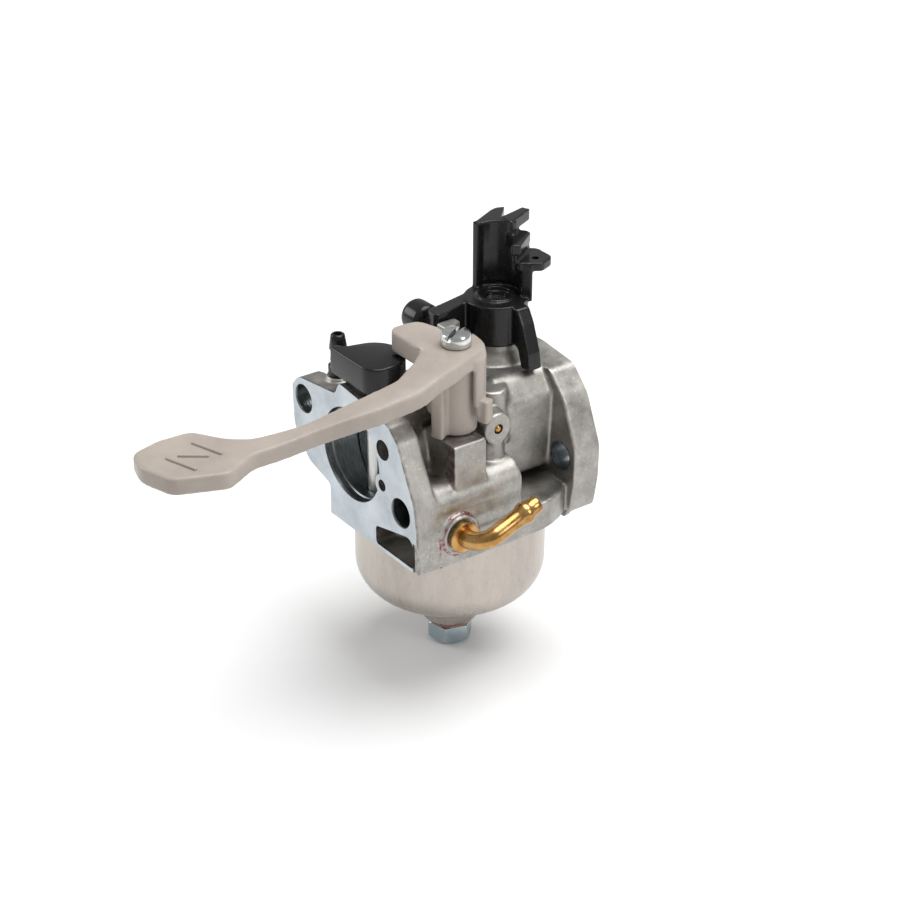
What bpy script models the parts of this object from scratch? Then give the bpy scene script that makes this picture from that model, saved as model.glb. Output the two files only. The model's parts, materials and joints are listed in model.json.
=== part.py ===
"""Float carburetor for a small four-stroke engine, in metres with +Z up.

The air passage runs along Y, from the air cleaner face to the engine face, and its axis is z = 0.
The fuel inlet is on the +X side. The origin is the centre of the engine port, in the engine face.
Sizes are in millimetres. A place is (x, y, z), with y measured back from the air cleaner face.
"""

import math

import bmesh
import bpy
from mathutils import Matrix, Vector

MM = 0.001
GAP = 0.3  # clearance between pieces that touch or run in each other

# Driving dimensions
BODY_LENGTH = 54.0  # between the two flange faces
FRONT_FLANGE = 6.0
REAR_FLANGE_START = 46.5
STUD_X, STUD_Z, STUD_HOLE_R = 20.0, 6.4, 3.45  # 42 mm diagonal stud spacing, M6 studs
MOUTH_R, INLET_R, THROAT_R, OUTLET_R = 11.5, 11.2, 7.5, 9.5
CHOKE_Y, THROTTLE_Y, NOZZLE_Y = 7.5, 42.0, 28.5
CHOKE_CLOSED_DEG, THROTTLE_IDLE_DEG = -12.0, -15.0  # plate direction from +X, seen from above
CHOKE_SHAFT_R, THROTTLE_SHAFT_R = 2.5, 3.0
BOWL_R, BOWL_WALL, BOWL_BOTTOM = 23.5, 0.8, -54.8
BODY_BOTTOM, CHAMBER_CEILING, CHAMBER_R = -20.0, -15.5, 24.0
COLUMN_R, COLUMN_BOTTOM = 5.0, -53.6
WASHER = 0.7
NOZZLE_TUBE_R, ORIFICE_R = 1.6, 0.4
POCKET_FLOOR = 0.9  # thickness of the casting under the pocket in its front corner
BOLT_BOTTOM = -60.7
PIVOT = (16.0, 18.5)  # choke lever's post
LEDGE_Z, LEVER_TOP = 8.1, 29.2
INLET_Y, INLET_Z = 12.0, -12.9  # fuel inlet passage
FLOAT_PIN = (5.5, 11.3, -25.0)
FLOAT_DROP_DEG = 10.0  # the float hangs this far down with no fuel in the bowl
NEEDLE = (5.5, 15.1)
COLLAR_TOP, COLLAR_BOTTOM, COLLAR_R = 29.5, 19.3, 7.7
IDLE_SCREW_X, IDLE_SCREW_Y, IDLE_SCREW_Z = -11.4, 26.0, 25.0
MIXTURE_Y, MIXTURE_Z = 40.0, -6.0
PILOT = (-6.0, 27.0)
VENT = (-13.6, 6.0)
DRIVE_PIN_R, DRIVE_PIN_DEG = 6.0, 72.5  # choke cap's pin, from the choke shaft's axis
PLUG_Y, PLUG_Z = 27.1, 7.2
PADDLE_DROP = 7.4  # how far the lever's top falls from its hub to its thumb pad

# Colour, metallic and roughness of each material
FINISHES = {
    "cast_alloy": ((0.52, 0.51, 0.49), 1.0, 0.45),
    "drawn_steel": ((0.62, 0.58, 0.55), 1.0, 0.35),
    "zinc_steel": ((0.60, 0.66, 0.68), 1.0, 0.30),
    "brass": ((0.80, 0.52, 0.16), 1.0, 0.25),
    "black_plastic": ((0.02, 0.02, 0.02), 0.0, 0.35),
    "grey_plastic": ((0.56, 0.51, 0.47), 0.0, 0.50),
    "black_rubber": ((0.03, 0.03, 0.03), 0.0, 0.75),
    "fibre": ((0.35, 0.16, 0.09), 0.0, 0.80),
}

PLANES = {  # where a flat outline's own axes point
    "XY": Matrix.Identity(3),
    "XZ": Matrix(((1, 0, 0), (0, 0, -1), (0, 1, 0))),
    "YZ": Matrix(((0, 0, 1), (1, 0, 0), (0, 1, 0))),
}


# ---------------------------------------------------------------- helpers


def clear_scene():
    for obj in list(bpy.data.objects):
        bpy.data.objects.remove(obj)
    for name in ("Carburetor", "Cutters"):
        collection = bpy.data.collections.new(name)
        bpy.context.scene.collection.children.link(collection)


def point(place):
    x, y, z = place
    return Vector((x, y - BODY_LENGTH, z)) * MM


def add_object(name, data):
    obj = bpy.data.objects.new(name, data)
    bpy.data.collections["Carburetor"].objects.link(obj)
    return obj


def mesh_object(name, bm):
    mesh = bpy.data.meshes.new(name)
    bm.to_mesh(mesh)
    bm.free()
    return add_object(name, mesh)


def drum(name, radius, start, end, end_radius=None, sides=32):
    """A cylinder, or a cone, between two places."""
    first, last = point(start), point(end)
    axis = last - first
    bm = bmesh.new()
    bmesh.ops.create_cone(
        bm,
        cap_ends=True,
        segments=sides,
        radius1=radius * MM,
        radius2=(radius if end_radius is None else end_radius) * MM,
        depth=axis.length,
    )
    turn = axis.to_track_quat("Z", "Y").to_matrix().to_4x4()
    bmesh.ops.transform(bm, matrix=Matrix.Translation((first + last) / 2) @ turn, verts=bm.verts)
    return mesh_object(name, bm)


def box(name, low, high):
    first, last = point(low), point(high)
    bm = bmesh.new()
    bmesh.ops.create_cube(bm, size=1.0)
    bmesh.ops.scale(bm, vec=last - first, verts=bm.verts)
    bmesh.ops.translate(bm, vec=(first + last) / 2, verts=bm.verts)
    return mesh_object(name, bm)


def rounded(corners, step_deg=18):
    """An outline from (a, b, radius) corners, with an arc at each corner that has a radius."""
    points = []
    for i, (a, b, radius) in enumerate(corners):
        here = Vector((a, b))
        if not radius:
            points.append(here)
            continue
        back = (Vector(corners[i - 1][:2]) - here).normalized()
        ahead = (Vector(corners[(i + 1) % len(corners)][:2]) - here).normalized()
        half = back.angle(ahead) / 2
        centre = here + (back + ahead).normalized() * (radius / math.sin(half))
        first = here + back * (radius / math.tan(half)) - centre
        turn = (math.pi - 2 * half) * (1 if back.cross(ahead) < 0 else -1)
        steps = max(1, round(abs(math.degrees(turn)) / step_deg))
        for k in range(steps + 1):
            points.append(centre + Matrix.Rotation(turn * k / steps, 2) @ first)
    return points


def as_mesh(curve_object):
    """The curve's evaluated shape as a mesh object with welded caps. The curve is removed."""
    bpy.context.view_layer.update()
    graph = bpy.context.evaluated_depsgraph_get()
    mesh = bpy.data.meshes.new_from_object(curve_object.evaluated_get(graph))
    bm = bmesh.new()
    bm.from_mesh(mesh)
    bmesh.ops.remove_doubles(bm, verts=bm.verts, dist=1e-6)
    bmesh.ops.recalc_face_normals(bm, faces=bm.faces)
    bm.to_mesh(mesh)
    bm.free()
    name = curve_object.name
    place = curve_object.matrix_world.copy()
    bpy.data.objects.remove(curve_object)
    obj = add_object(name, mesh)
    obj.matrix_world = place
    return obj


def prism(name, outline, plane, low, high):
    """A flat outline drawn in a plane and extruded from low to high across it."""
    curve = bpy.data.curves.new(name, "CURVE")
    curve.dimensions = "2D"
    curve.fill_mode = "BOTH"
    curve.extrude = (high - low) / 2 * MM
    spline = curve.splines.new("POLY")
    spline.points.add(len(outline) - 1)
    for spot, corner in zip(spline.points, outline):
        spot.co = (corner[0] * MM, corner[1] * MM, 0.0, 1.0)
    spline.use_cyclic_u = True
    obj = add_object(name, curve)
    middle = (low + high) / 2
    offset = {"XY": (0, 0, middle), "XZ": (0, middle, 0), "YZ": (middle, 0, 0)}[plane]
    obj.matrix_world = Matrix.Translation(point(offset)) @ PLANES[plane].to_4x4()
    solid = as_mesh(obj)
    solid.data.transform(solid.matrix_world)
    solid.matrix_world = Matrix.Identity(4)
    return solid


def turned(name, profile, base, direction=(0, 0, 1), steps=48):
    """A turned solid. The profile's (radius, height) corners run down its outer side."""
    bm = bmesh.new()
    spots = [bm.verts.new((radius * MM, 0, height * MM)) for radius, height in profile]
    for first, last in zip(spots, spots[1:]):
        bm.edges.new((first, last))
    if profile[0][0] > 0 and profile[-1][0] > 0:
        bm.edges.new((spots[-1], spots[0]))
    obj = mesh_object(name, bm)
    screw = obj.modifiers.new("Turn", "SCREW")
    screw.steps = screw.render_steps = steps
    screw.use_merge_vertices = True
    screw.merge_threshold = 1e-6
    obj.matrix_world = Matrix.Translation(point(base)) @ (
        Vector(direction).to_track_quat("Z", "Y").to_matrix().to_4x4()
    )
    return obj


def tube(name, places, radius, cyclic=False, resolution=3):
    """A round bar along a line of places."""
    curve = bpy.data.curves.new(name, "CURVE")
    curve.dimensions = "3D"
    curve.bevel_depth = radius * MM
    curve.bevel_resolution = resolution
    curve.use_fill_caps = not cyclic
    spline = curve.splines.new("POLY")
    spline.points.add(len(places) - 1)
    for spot, place in zip(spline.points, places):
        spot.co = (*point(place), 1.0)
    spline.use_cyclic_u = cyclic
    return as_mesh(add_object(name, curve))


def combine(target, operation, tools):
    cutters = bpy.data.collections["Cutters"]
    for tool in tools:
        modifier = target.modifiers.new(tool.name, "BOOLEAN")
        modifier.operation = operation
        modifier.object = tool
        bpy.data.collections["Carburetor"].objects.unlink(tool)
        cutters.objects.link(tool)
        tool.hide_render = True
        tool.display_type = "WIRE"
    return target


def join(target, *tools):
    return combine(target, "UNION", tools)


def cut(target, *tools):
    return combine(target, "DIFFERENCE", tools)


def finish(obj, material, pivot=None, smooth_deg=35):
    """Gives a piece its material, smooth round faces, and a parent on its joint's axis."""
    obj.data.shade_smooth()
    obj.data.set_sharp_from_angle(angle=math.radians(smooth_deg))
    obj.data.materials.clear()
    obj.data.materials.append(bpy.data.materials[material])
    if pivot is not None:
        attach(obj, pivot)
        for modifier in obj.modifiers:
            if modifier.type == "BOOLEAN":
                attach(modifier.object, pivot)
    return obj


def attach(obj, pivot):
    bpy.context.view_layer.update()
    world = obj.matrix_world.copy()
    obj.parent = pivot
    obj.matrix_parent_inverse = pivot.matrix_world.inverted()
    obj.matrix_world = world


def pivot_empty(name, place):
    empty = add_object(name, None)
    empty.location = point(place)
    bpy.context.view_layer.update()
    return empty


def make_materials():
    for name, (colour, metallic, roughness) in FINISHES.items():
        material = bpy.data.materials.new(name)
        material.use_nodes = True
        shader = material.node_tree.nodes["Principled BSDF"]
        shader.inputs["Base Color"].default_value = (*colour, 1.0)
        shader.inputs["Metallic"].default_value = metallic
        shader.inputs["Roughness"].default_value = roughness
        material.diffuse_color = (*colour, 1.0)


def around(centre, radius, angle_deg):
    angle = math.radians(angle_deg)
    return (centre[0] + radius * math.cos(angle), centre[1] + radius * math.sin(angle))


def sector(centre, inner, outer, start_deg, end_deg, step_deg=12):
    """The outline of a stretch of ring."""
    steps = max(1, round((end_deg - start_deg) / step_deg))
    angles = [start_deg + (end_deg - start_deg) * i / steps for i in range(steps + 1)]
    return [around(centre, outer, a) for a in angles] + [
        around(centre, inner, a) for a in reversed(angles)
    ]


# ---------------------------------------------------------------- body casting


def flange_solids():
    front = [
        (-22.2, 11.4, 2.0), (-25.0, 8.5, 2.0), (-24.6, -2.5, 5.0), (-18.5, -9.5, 5.0),
        (-9.4, -12.0, 0), (-9.4, BODY_BOTTOM - 1, 0), (26.6, BODY_BOTTOM - 1, 0), (26.0, -8.5, 3.0),
        (24.8, -2.0, 6.0), (18.6, 10.8, 3.0), (15.5, 13.6, 2.0), (4.5, 15.8, 2.0),
        (-4.4, 16.8, 1.0), (-6.3, 13.4, 0.8),
    ]  # fmt: skip
    rear = [
        (-20.5, 14.8, 3.0), (-25.6, 11.0, 3.0), (-25.6, -2.0, 6.0), (-17.0, -14.0, 4.0),
        (-14.0, -22.0, 2.0), (19.0, -22.6, 2.0), (25.5, -19.8, 2.5), (25.6, -3.5, 8.0),
        (20.5, 8.5, 6.0), (15.0, 14.2, 3.0), (3.5, 15.6, 3.0),
    ]  # fmt: skip
    return (
        prism("front_flange", rounded(front), "XZ", 0.0, FRONT_FLANGE),
        prism("rear_flange", rounded(rear), "XZ", REAR_FLANGE_START, BODY_LENGTH),
    )


def casting_solids():
    """The bosses and blocks that the casting is made of, beside its front flange."""
    low = BODY_BOTTOM - 1.4
    side = [(6, low, 0), (27.0, low, 0), (26.4, -10.0, 3.0), (23.6, -1.6, 2.0), (6, -1.6, 0)]
    bowl_flange = [(-24.7, 3.4, 22), (-24.7, 53.6, 20), (27.0, 53.6, 20), (27.0, 3.4, 6)]
    throttle_block = [(-13, -11, 4), (15.8, -11.2, 3), (16.5, 9.0, 3), (13.2, 14.4, 3), (-13, 14.4, 4)]
    ledge = [(8, -8, 0), (24.3, -8, 0), (24.0, LEDGE_Z, 0.8), (8, LEDGE_Z, 0)]
    idle_stop = [(1.3, 23.6), (5.4, 23.6), (5.4, 26.2), (3.6, 28.8), (1.3, 28.8)]
    roof = [(-9.5, 6, 0), (9.5, 6, 0), (9.5, 13.0, 2), (-9.5, 13.0, 2)]
    return [
        drum("barrel", 14.6, (0, 3, 0), (0, 48, 0), sides=48),
        prism("throttle_block", rounded(throttle_block), "XZ", 32.5, 47.5),
        prism("side_block", rounded(side), "XZ", 4.0, 30.2),
        drum("stud_tunnel_boss", 5.6, (STUD_X, 4, -STUD_Z), (STUD_X, 30.9, -STUD_Z)),
        prism("ledge_block", rounded(ledge), "XZ", 12.3, 21.3),
        prism("roof", rounded(roof), "XZ", 5.0, 44.0),
        drum("plug_boss", 3.9, (8, PLUG_Y, PLUG_Z), (20.5, PLUG_Y, PLUG_Z)),
        drum("plug_column", 3.5, (17.2, PLUG_Y, -6), (17.2, PLUG_Y, PLUG_Z)),
        drum("cast_boss", 3.4, (13.5, 31, 0), (13.5, 31, 14.6)),
        drum("choke_boss", 5.6, (0, CHOKE_Y, 8), (0, CHOKE_Y, 17.0)),
        drum("throttle_boss", 6.7, (0, THROTTLE_Y, 8), (0, THROTTLE_Y, 19.0)),
        drum("throttle_boss_foot", 9.4, (0, THROTTLE_Y, 12.6), (0, THROTTLE_Y, 16.4), end_radius=6.8),
        drum("pilot_boss", 4.0, (*PILOT, 8), (*PILOT, 17.5)),
        prism("idle_stop_lug", idle_stop, "XY", 10.0, 27.6),
        drum("vent_boss", 3.2, (*VENT, 3), (*VENT, 13.7)),
        drum("mixture_boss", 3.9, (-19.0, MIXTURE_Y, MIXTURE_Z), (-8, MIXTURE_Y, MIXTURE_Z)),
        prism("bowl_flange", rounded(bowl_flange), "XY", BODY_BOTTOM - 1.8, -13.2),
    ]


def air_passage():
    """Cutter for the whole air passage: choke chamber, venturi and throttle bore."""
    profile = [
        (0, 56), (OUTLET_R, 56), (OUTLET_R, 36), (THROAT_R, 32), (THROAT_R, 25.5),
        (8.4, 22.5), (10.0, 20.3), (INLET_R, 19.0), (INLET_R, 2.3), (MOUTH_R, 2.0), (MOUTH_R, -2), (0, -2),
    ]  # fmt: skip
    return turned("air_passage", profile, (0, 0, 0), direction=(0, 1, 0), steps=48)


def chamber_fittings():
    """What hangs from the chamber's ceiling: the nozzle column and the float pin's two posts."""
    x, y, z = FLOAT_PIN
    posts = [
        box(f"pin_post_{side}", (left, y - 1.7, z - 1.7), (left + 1.9, y + 1.7, CHAMBER_CEILING + 2))
        for side, left in (("inner", x - 4.8), ("outer", x + 2.9))
    ]
    column = drum(
        "nozzle_column", COLUMN_R, (0, NOZZLE_Y, COLUMN_BOTTOM), (0, NOZZLE_Y, CHAMBER_CEILING + 3)
    )
    return [column, *posts]


def drillings():
    """The drilled and bored holes, each as a cutter."""
    px, py, pz = FLOAT_PIN
    wide = 2.4  # holes larger than this get more sides
    holes = [
        ("stud_hole_right", STUD_HOLE_R, (STUD_X, -1, -STUD_Z), (STUD_X, 56, -STUD_Z)),
        ("stud_hole_left", STUD_HOLE_R, (-STUD_X, -1, STUD_Z), (-STUD_X, 56, STUD_Z)),
        ("choke_shaft_hole", CHOKE_SHAFT_R + GAP, (0, CHOKE_Y, -14.2), (0, CHOKE_Y, 18)),
        ("throttle_shaft_hole", THROTTLE_SHAFT_R + GAP, (0, THROTTLE_Y, -13.4), (0, THROTTLE_Y, 20)),
        ("throttle_seal_seat", 5.2, (0, THROTTLE_Y, 16.6), (0, THROTTLE_Y, 20)),
        ("bowl_vent", 2.5, (13.1, -1, 6.9), (13.1, 10, 6.9)),
        ("pilot_air_jet", 1.45, (12.6, -1, -2.5), (12.6, 16, -2.5)),
        ("pilot_jet_hole", 1.7 + GAP, (*PILOT, 8.4), (*PILOT, 19)),
        ("vent_nipple_hole", 1.5 + GAP, (*VENT, 6.7), (*VENT, 15)),
        ("plug_hole", 1.2, (12, PLUG_Y, PLUG_Z), (22, PLUG_Y, PLUG_Z)),
        ("inlet_press_hole", 2.3 + GAP, (19, INLET_Y, INLET_Z), (29, INLET_Y, INLET_Z)),
        ("inlet_passage", 1.5, (NEEDLE[0], INLET_Y, INLET_Z), (20, INLET_Y, INLET_Z)),
        ("needle_seat_hole", 2.6 + GAP, (*NEEDLE, -16.5), (*NEEDLE, -12.6)),
        ("pin_hole", 0.8 + GAP, (px - 6, py, pz), (px + 6, py, pz)),
        ("bolt_thread", 2.75 + GAP, (0, NOZZLE_Y, -55), (0, NOZZLE_Y, -41.2)),
        ("nozzle_hole", NOZZLE_TUBE_R + GAP, (0, NOZZLE_Y, -42), (0, NOZZLE_Y, -5)),
        ("mixture_hole", 1.9 + GAP, (-20, MIXTURE_Y, MIXTURE_Z), (-10.5, MIXTURE_Y, MIXTURE_Z)),
        ("mixture_port", 0.8 + GAP, (-12, MIXTURE_Y, MIXTURE_Z), (-6, MIXTURE_Y, MIXTURE_Z)),
        ("post_screw_hole", 1.5 + GAP, (*PIVOT, 16), (*PIVOT, 30)),
    ]
    return [
        drum(name, radius, start, end, sides=24 if radius > wide else 16)
        for name, radius, start, end in holes
    ]


def carburetor_body():
    body, rear = flange_solids()
    body.name = "carburetor_body"
    join(body, rear, *casting_solids())
    floor = BODY_BOTTOM + POCKET_FLOOR
    pocket = [(9.8, floor, 0), (24.7, floor, 0), (24.5, -10.6, 2.5), (21.0, -11.6, 0), (9.8, -14.2, 0)]
    cut(body, prism("pocket", rounded(pocket), "XZ", -1.0, 9.0))
    join(
        body,
        drum("chamber_wall", 24.95, (0, NOZZLE_Y, BODY_BOTTOM - 2.1), (0, NOZZLE_Y, -14.1), sides=64),
        drum("inlet_boss", 4.9, (15, INLET_Y, INLET_Z), (27.2, INLET_Y, INLET_Z)),
    )
    chamber = ((0, NOZZLE_Y, BODY_BOTTOM - 4), (0, NOZZLE_Y, CHAMBER_CEILING))
    cut(
        body,
        box("skim_cut", (-30, -2, BODY_BOTTOM - 3), (30, BODY_LENGTH - 7.5, BODY_BOTTOM)),
        drum("float_chamber", CHAMBER_R, *chamber, sides=64),
        drum("lever_spot_face", 5.4, (*PIVOT, LEDGE_Z), (*PIVOT, 16)),
        air_passage(),
    )
    join(
        body,
        *chamber_fittings(),
        drum("pilot_air_boss", 2.7, (12.6, 0, -2.5), (12.6, 2.6, -2.5), sides=20),
        drum("pivot_post", 3.1, (*PIVOT, 5), (*PIVOT, LEVER_TOP - GAP), sides=24),
    )
    cut(body, *drillings())
    return finish(body, "cast_alloy")


# ---------------------------------------------------------------- float bowl and fuel side


def bowl_profile():
    """Outer side of the bowl from its rim down to its bolt hole, as (radius, z)."""
    shoulder = (14.6, -36.0, 8.9)  # radius, z and size of the lower corner's round
    points = [(BOWL_R, -17.3), (BOWL_R, -29.0)]
    for k in range(7):
        a = math.radians(72 * k / 6)
        points.append((shoulder[0] + shoulder[2] * math.cos(a), shoulder[1] - shoulder[2] * math.sin(a)))
    points += [(12.0, -46.8), (10.0, -47.8), (8.6, -49.4), (7.4, -52.4), (6.4, -54.4)]
    return points + [(5.6, BOWL_BOTTOM), (3.2, BOWL_BOTTOM)]


def float_bowl():
    outer = bowl_profile()
    inner = []
    for i, (radius, z) in enumerate(outer):
        before = Vector(outer[max(i - 1, 0)])
        after = Vector(outer[min(i + 1, len(outer) - 1)])
        along = (after - before).normalized()
        inner.append((radius + along.y * BOWL_WALL, z - along.x * BOWL_WALL))
    inner[0] = (outer[0][0] - BOWL_WALL, outer[0][1])
    inner[-1] = (outer[-1][0], outer[-1][1] + BOWL_WALL)
    bowl = turned("float_bowl", outer + inner[::-1], (0, NOZZLE_Y, 0), steps=48)
    return finish(bowl, "drawn_steel")


def bowl_gasket():
    low, high = -17.3 + GAP, CHAMBER_CEILING - GAP
    outer, inner, edge = 23.8, 22.3, 0.3
    profile = [
        (23.0, high), (outer, high - edge), (outer, low + edge),
        (23.0, low), (inner, low + edge), (inner, high - edge),
    ]  # fmt: skip
    return finish(turned("bowl_gasket", profile, (0, NOZZLE_Y, 0), steps=48), "black_rubber")


def bowl_bolt():
    head_top = BOWL_BOTTOM - GAP - WASHER - GAP
    corner_r = 5.0 / math.cos(math.radians(30))
    head = drum("bowl_bolt", corner_r, (0, NOZZLE_Y, BOLT_BOTTOM), (0, NOZZLE_Y, head_top), sides=6)
    shank = drum("bolt_shank", 2.75, (0, NOZZLE_Y, head_top - 1), (0, NOZZLE_Y, -46.6), sides=24)
    return finish(join(head, shank), "zinc_steel")


def bowl_washer():
    low, high = BOWL_BOTTOM - GAP - WASHER, BOWL_BOTTOM - GAP
    profile = [(5.6, high), (5.6, low), (3.2, low), (3.2, high)]
    return finish(turned("bowl_washer", profile, (0, NOZZLE_Y, 0), steps=32), "fibre")


def elbow_route():
    """Centre line of the fuel elbow: straight out of the body, then bent back and up."""
    bend_x, bend_radius, rise = 34.0, 5.0, math.radians(20)
    along = Vector((0, math.cos(rise), math.sin(rise)))
    corner = Vector((bend_x, INLET_Y, INLET_Z))
    centre = corner + Vector((-bend_radius, 0, 0)) + along * bend_radius
    route = [Vector((20.0, INLET_Y, INLET_Z)), Vector((24.0, INLET_Y, INLET_Z))]
    for k in range(9):
        a = math.radians(90 * k / 8)
        route.append(centre - along * bend_radius * math.cos(a) + Vector((bend_radius * math.sin(a), 0, 0)))
    route.append(corner + along * 17.6)
    return route, along


def fuel_inlet_elbow():
    route, along = elbow_route()
    elbow = tube("fuel_inlet_elbow", route, 2.3, resolution=4)
    flange = drum("elbow_flange", 3.9, (27.2 + GAP, INLET_Y, INLET_Z), (28.8, INLET_Y, INLET_Z), sides=24)
    end = route[-1]
    barb = turned(
        "elbow_barb",
        [(0, -0.6), (2.1, -0.6), (2.1, -1.6), (2.75, -2.4), (2.75, -3.0), (2.2, -4.4), (0, -4.4)],
        tuple(end),
        direction=tuple(along),
        steps=20,
    )
    inside = [route[0] - Vector((1, 0, 0)), *route[1:-1], end + along]
    join(elbow, flange, barb)
    cut(elbow, tube("elbow_bore", inside, 1.45, resolution=2))
    return finish(elbow, "brass")


def needle_parts(pivot):
    seat = turned(
        "needle_seat",
        [(2.6, -13.4), (2.6, -21.5), (1.65, -21.5), (1.65, -17.9), (ORIFICE_R, -17.9), (ORIFICE_R, -13.4)],
        (*NEEDLE, 0),
        steps=24,
    )
    needle = turned(
        "inlet_needle",
        [(0, -17.9), (0.2, -17.9), (1.35, -19.4), (1.35, -22.6), (0.8, -23.0), (0.8, -23.35), (0, -23.35)],
        (*NEEDLE, 0),
        steps=20,
    )
    finish(seat, "brass")
    finish(needle, "black_rubber", pivot)


def float_parts(pivot):
    x, y, z = FLOAT_PIN
    low, high = -40.0, -29.5
    steps = 36
    outer = [around((0, NOZZLE_Y), 15.5, 360 * k / steps) for k in range(steps)]
    opening = rounded([(-7.5, 20.5, 6), (7.5, 20.5, 6), (7.5, 39.0, 7), (-7.5, 39.0, 7)])
    body = prism("float", outer, "XY", low, high)
    cut(body, prism("float_opening", opening, "XY", low - 1, high + 1))
    join(
        body,
        box("float_web", (x - 2.2, 13.4, high - 2), (x + 2.2, 17.0, z + 0.4)),
        box("float_tongue", (x - 2.3, y, z - 0.5), (x + 2.3, 17.6, z + 1.2)),
        drum("float_hinge", 1.9, (x - 2.4, y, z), (x + 2.4, y, z), sides=20),
    )
    cut(body, drum("float_pin_hole", 0.8 + GAP, (x - 4, y, z), (x + 4, y, z), sides=16))
    finish(body, "black_plastic", pivot)
    pin = drum("float_pin", 0.8, (x - 5.2, y, z), (x + 5.2, y, z), sides=16)
    finish(pin, "zinc_steel")


def jets():
    main = drum("main_jet", 2.6, (0, NOZZLE_Y, -46.2), (0, NOZZLE_Y, -41.5), sides=24)
    cut(
        main,
        drum("main_jet_bore", ORIFICE_R, (0, NOZZLE_Y, -47), (0, NOZZLE_Y, -41), sides=12),
        box("main_jet_slot", (-3, NOZZLE_Y - 0.5, -47), (3, NOZZLE_Y + 0.5, -45.2)),
    )
    finish(main, "brass")
    nozzle = turned(
        "emulsion_tube",
        [(NOZZLE_TUBE_R, -6.9), (NOZZLE_TUBE_R, -40.9), (ORIFICE_R, -40.9), (ORIFICE_R, -6.9)],
        (0, NOZZLE_Y, 0),
        steps=20,
    )
    for i, z in enumerate((-14, -22, -30)):
        for j, turn in enumerate((0, 90)):
            reach = Matrix.Rotation(math.radians(turn), 2) @ Vector((3, 0))
            start = (-reach.x, NOZZLE_Y - reach.y, z)
            end = (reach.x, NOZZLE_Y + reach.y, z)
            cut(nozzle, drum(f"emulsion_hole_{i}{j}", 0.3, start, end, sides=8))
    finish(nozzle, "brass")
    pilot = turned(
        "pilot_jet",
        [(0, 17.4), (1.7, 17.4), (1.7, 11.0), (1.1, 10.4), (1.1, 8.8), (0, 8.8)],
        (*PILOT, 0),
        steps=20,
    )
    finish(pilot, "brass")
    cap = turned(
        "pilot_jet_cap",
        [(0, 20.4), (2.6, 20.4), (3.1, 19.9), (3.1, 18.9), (3.9, 18.7), (3.9, 17.5 + GAP), (0, 17.5 + GAP)],
        (*PILOT, 0),
        steps=28,
    )
    finish(cap, "black_plastic")


# ---------------------------------------------------------------- choke


def plate_and_shaft(kind, y, shaft_r, plate_r, angle_deg, shaft_span, bore_r, side):
    """A valve plate on the flat of a half-cut shaft, both turned to the plate's rest angle.

    The half of the shaft that stays is in front of the plate where side is 1, behind it where -1.
    """
    shaft_bottom, shaft_top = shaft_span
    turn = Matrix.Rotation(math.radians(angle_deg), 2)
    normal = turn @ Vector((0, 1))

    def across(distance, z=0.0):
        return (normal.x * distance * side, y + normal.y * distance * side, z)

    plate = drum(f"{kind}_plate", plate_r, across(-0.5), across(0.5), sides=48)
    near, far = sorted((-(0.5 + GAP) * side, 10 * side))
    relief = box(f"{kind}_relief", (-plate_r, y + near, -bore_r), (plate_r, y + far, bore_r))
    centre = Matrix.Translation(point((0, y, 0)))
    relief.data.transform(centre @ Matrix.Rotation(math.radians(angle_deg), 4, "Z") @ centre.inverted())
    shaft = drum(f"{kind}_shaft", shaft_r, (0, y, shaft_bottom), (0, y, shaft_top), sides=28)
    cut(shaft, relief)
    return shaft, plate, across


def choke_cap_outline():
    """The cap seen from above: a disc with a square corner in front and a tail to the left."""
    arc = [around((0.4, 6.2), 7.2, a) for a in range(30, 196, 15)]
    corner = rounded([(-9.6, 0.9, 1.0), (6.7, 0.9, 2.6), (6.8, 9.4, 0), (-9.6, 9.4, 0)])
    front = [p for p in corner if p[1] < 4.0]
    return [*front, (6.8, 8.6), *arc[1:], (-7.4, 3.8), (-9.4, 2.9)]


def choke_valve(pivot):
    shaft, plate, across = plate_and_shaft(
        "choke", CHOKE_Y, CHOKE_SHAFT_R, INLET_R - GAP, CHOKE_CLOSED_DEG, (-13.9, 20.0 - GAP), INLET_R, 1
    )
    finish(shaft, "zinc_steel", pivot)
    for name, z in (("upper", 6), ("lower", -6)):
        head = drum(f"choke_plate_screw_{name}", 1.8, across(1.7, z), across(0.5 + GAP, z), sides=20)
        join(head, drum(f"choke_{name}_stem", 0.9, across(1.2, z), across(-0.5, z), sides=14))
        cut(plate, drum(f"choke_{name}_hole", 0.9 + GAP, across(-2, z), across(2, z), sides=14))
        finish(head, "zinc_steel", pivot)
    finish(plate, "zinc_steel", pivot)
    cap = prism("choke_cap", choke_cap_outline(), "XY", 17.0 + GAP, 24.0)
    pin_x, pin_y = around((0, CHOKE_Y), DRIVE_PIN_R, DRIVE_PIN_DEG)
    cut(cap, drum("cap_pocket", CHOKE_SHAFT_R + GAP, (0, CHOKE_Y, 16), (0, CHOKE_Y, 20.0), sides=28))
    join(cap, drum("cap_drive_pin", 1.1, (pin_x, pin_y, 20), (pin_x, pin_y, 27.0), sides=20))
    finish(cap, "black_plastic", pivot)


def lever_top(y):
    """Height of the choke lever's top along its length: level over the hub, then falling."""
    start, end = 8.0, -38.0
    share = min(1.0, max(0.0, (start - y) / (start - end)))
    return LEVER_TOP - PADDLE_DROP * share * share * (3 - 2 * share) * 0.9 - PADDLE_DROP * 0.1 * share


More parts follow.
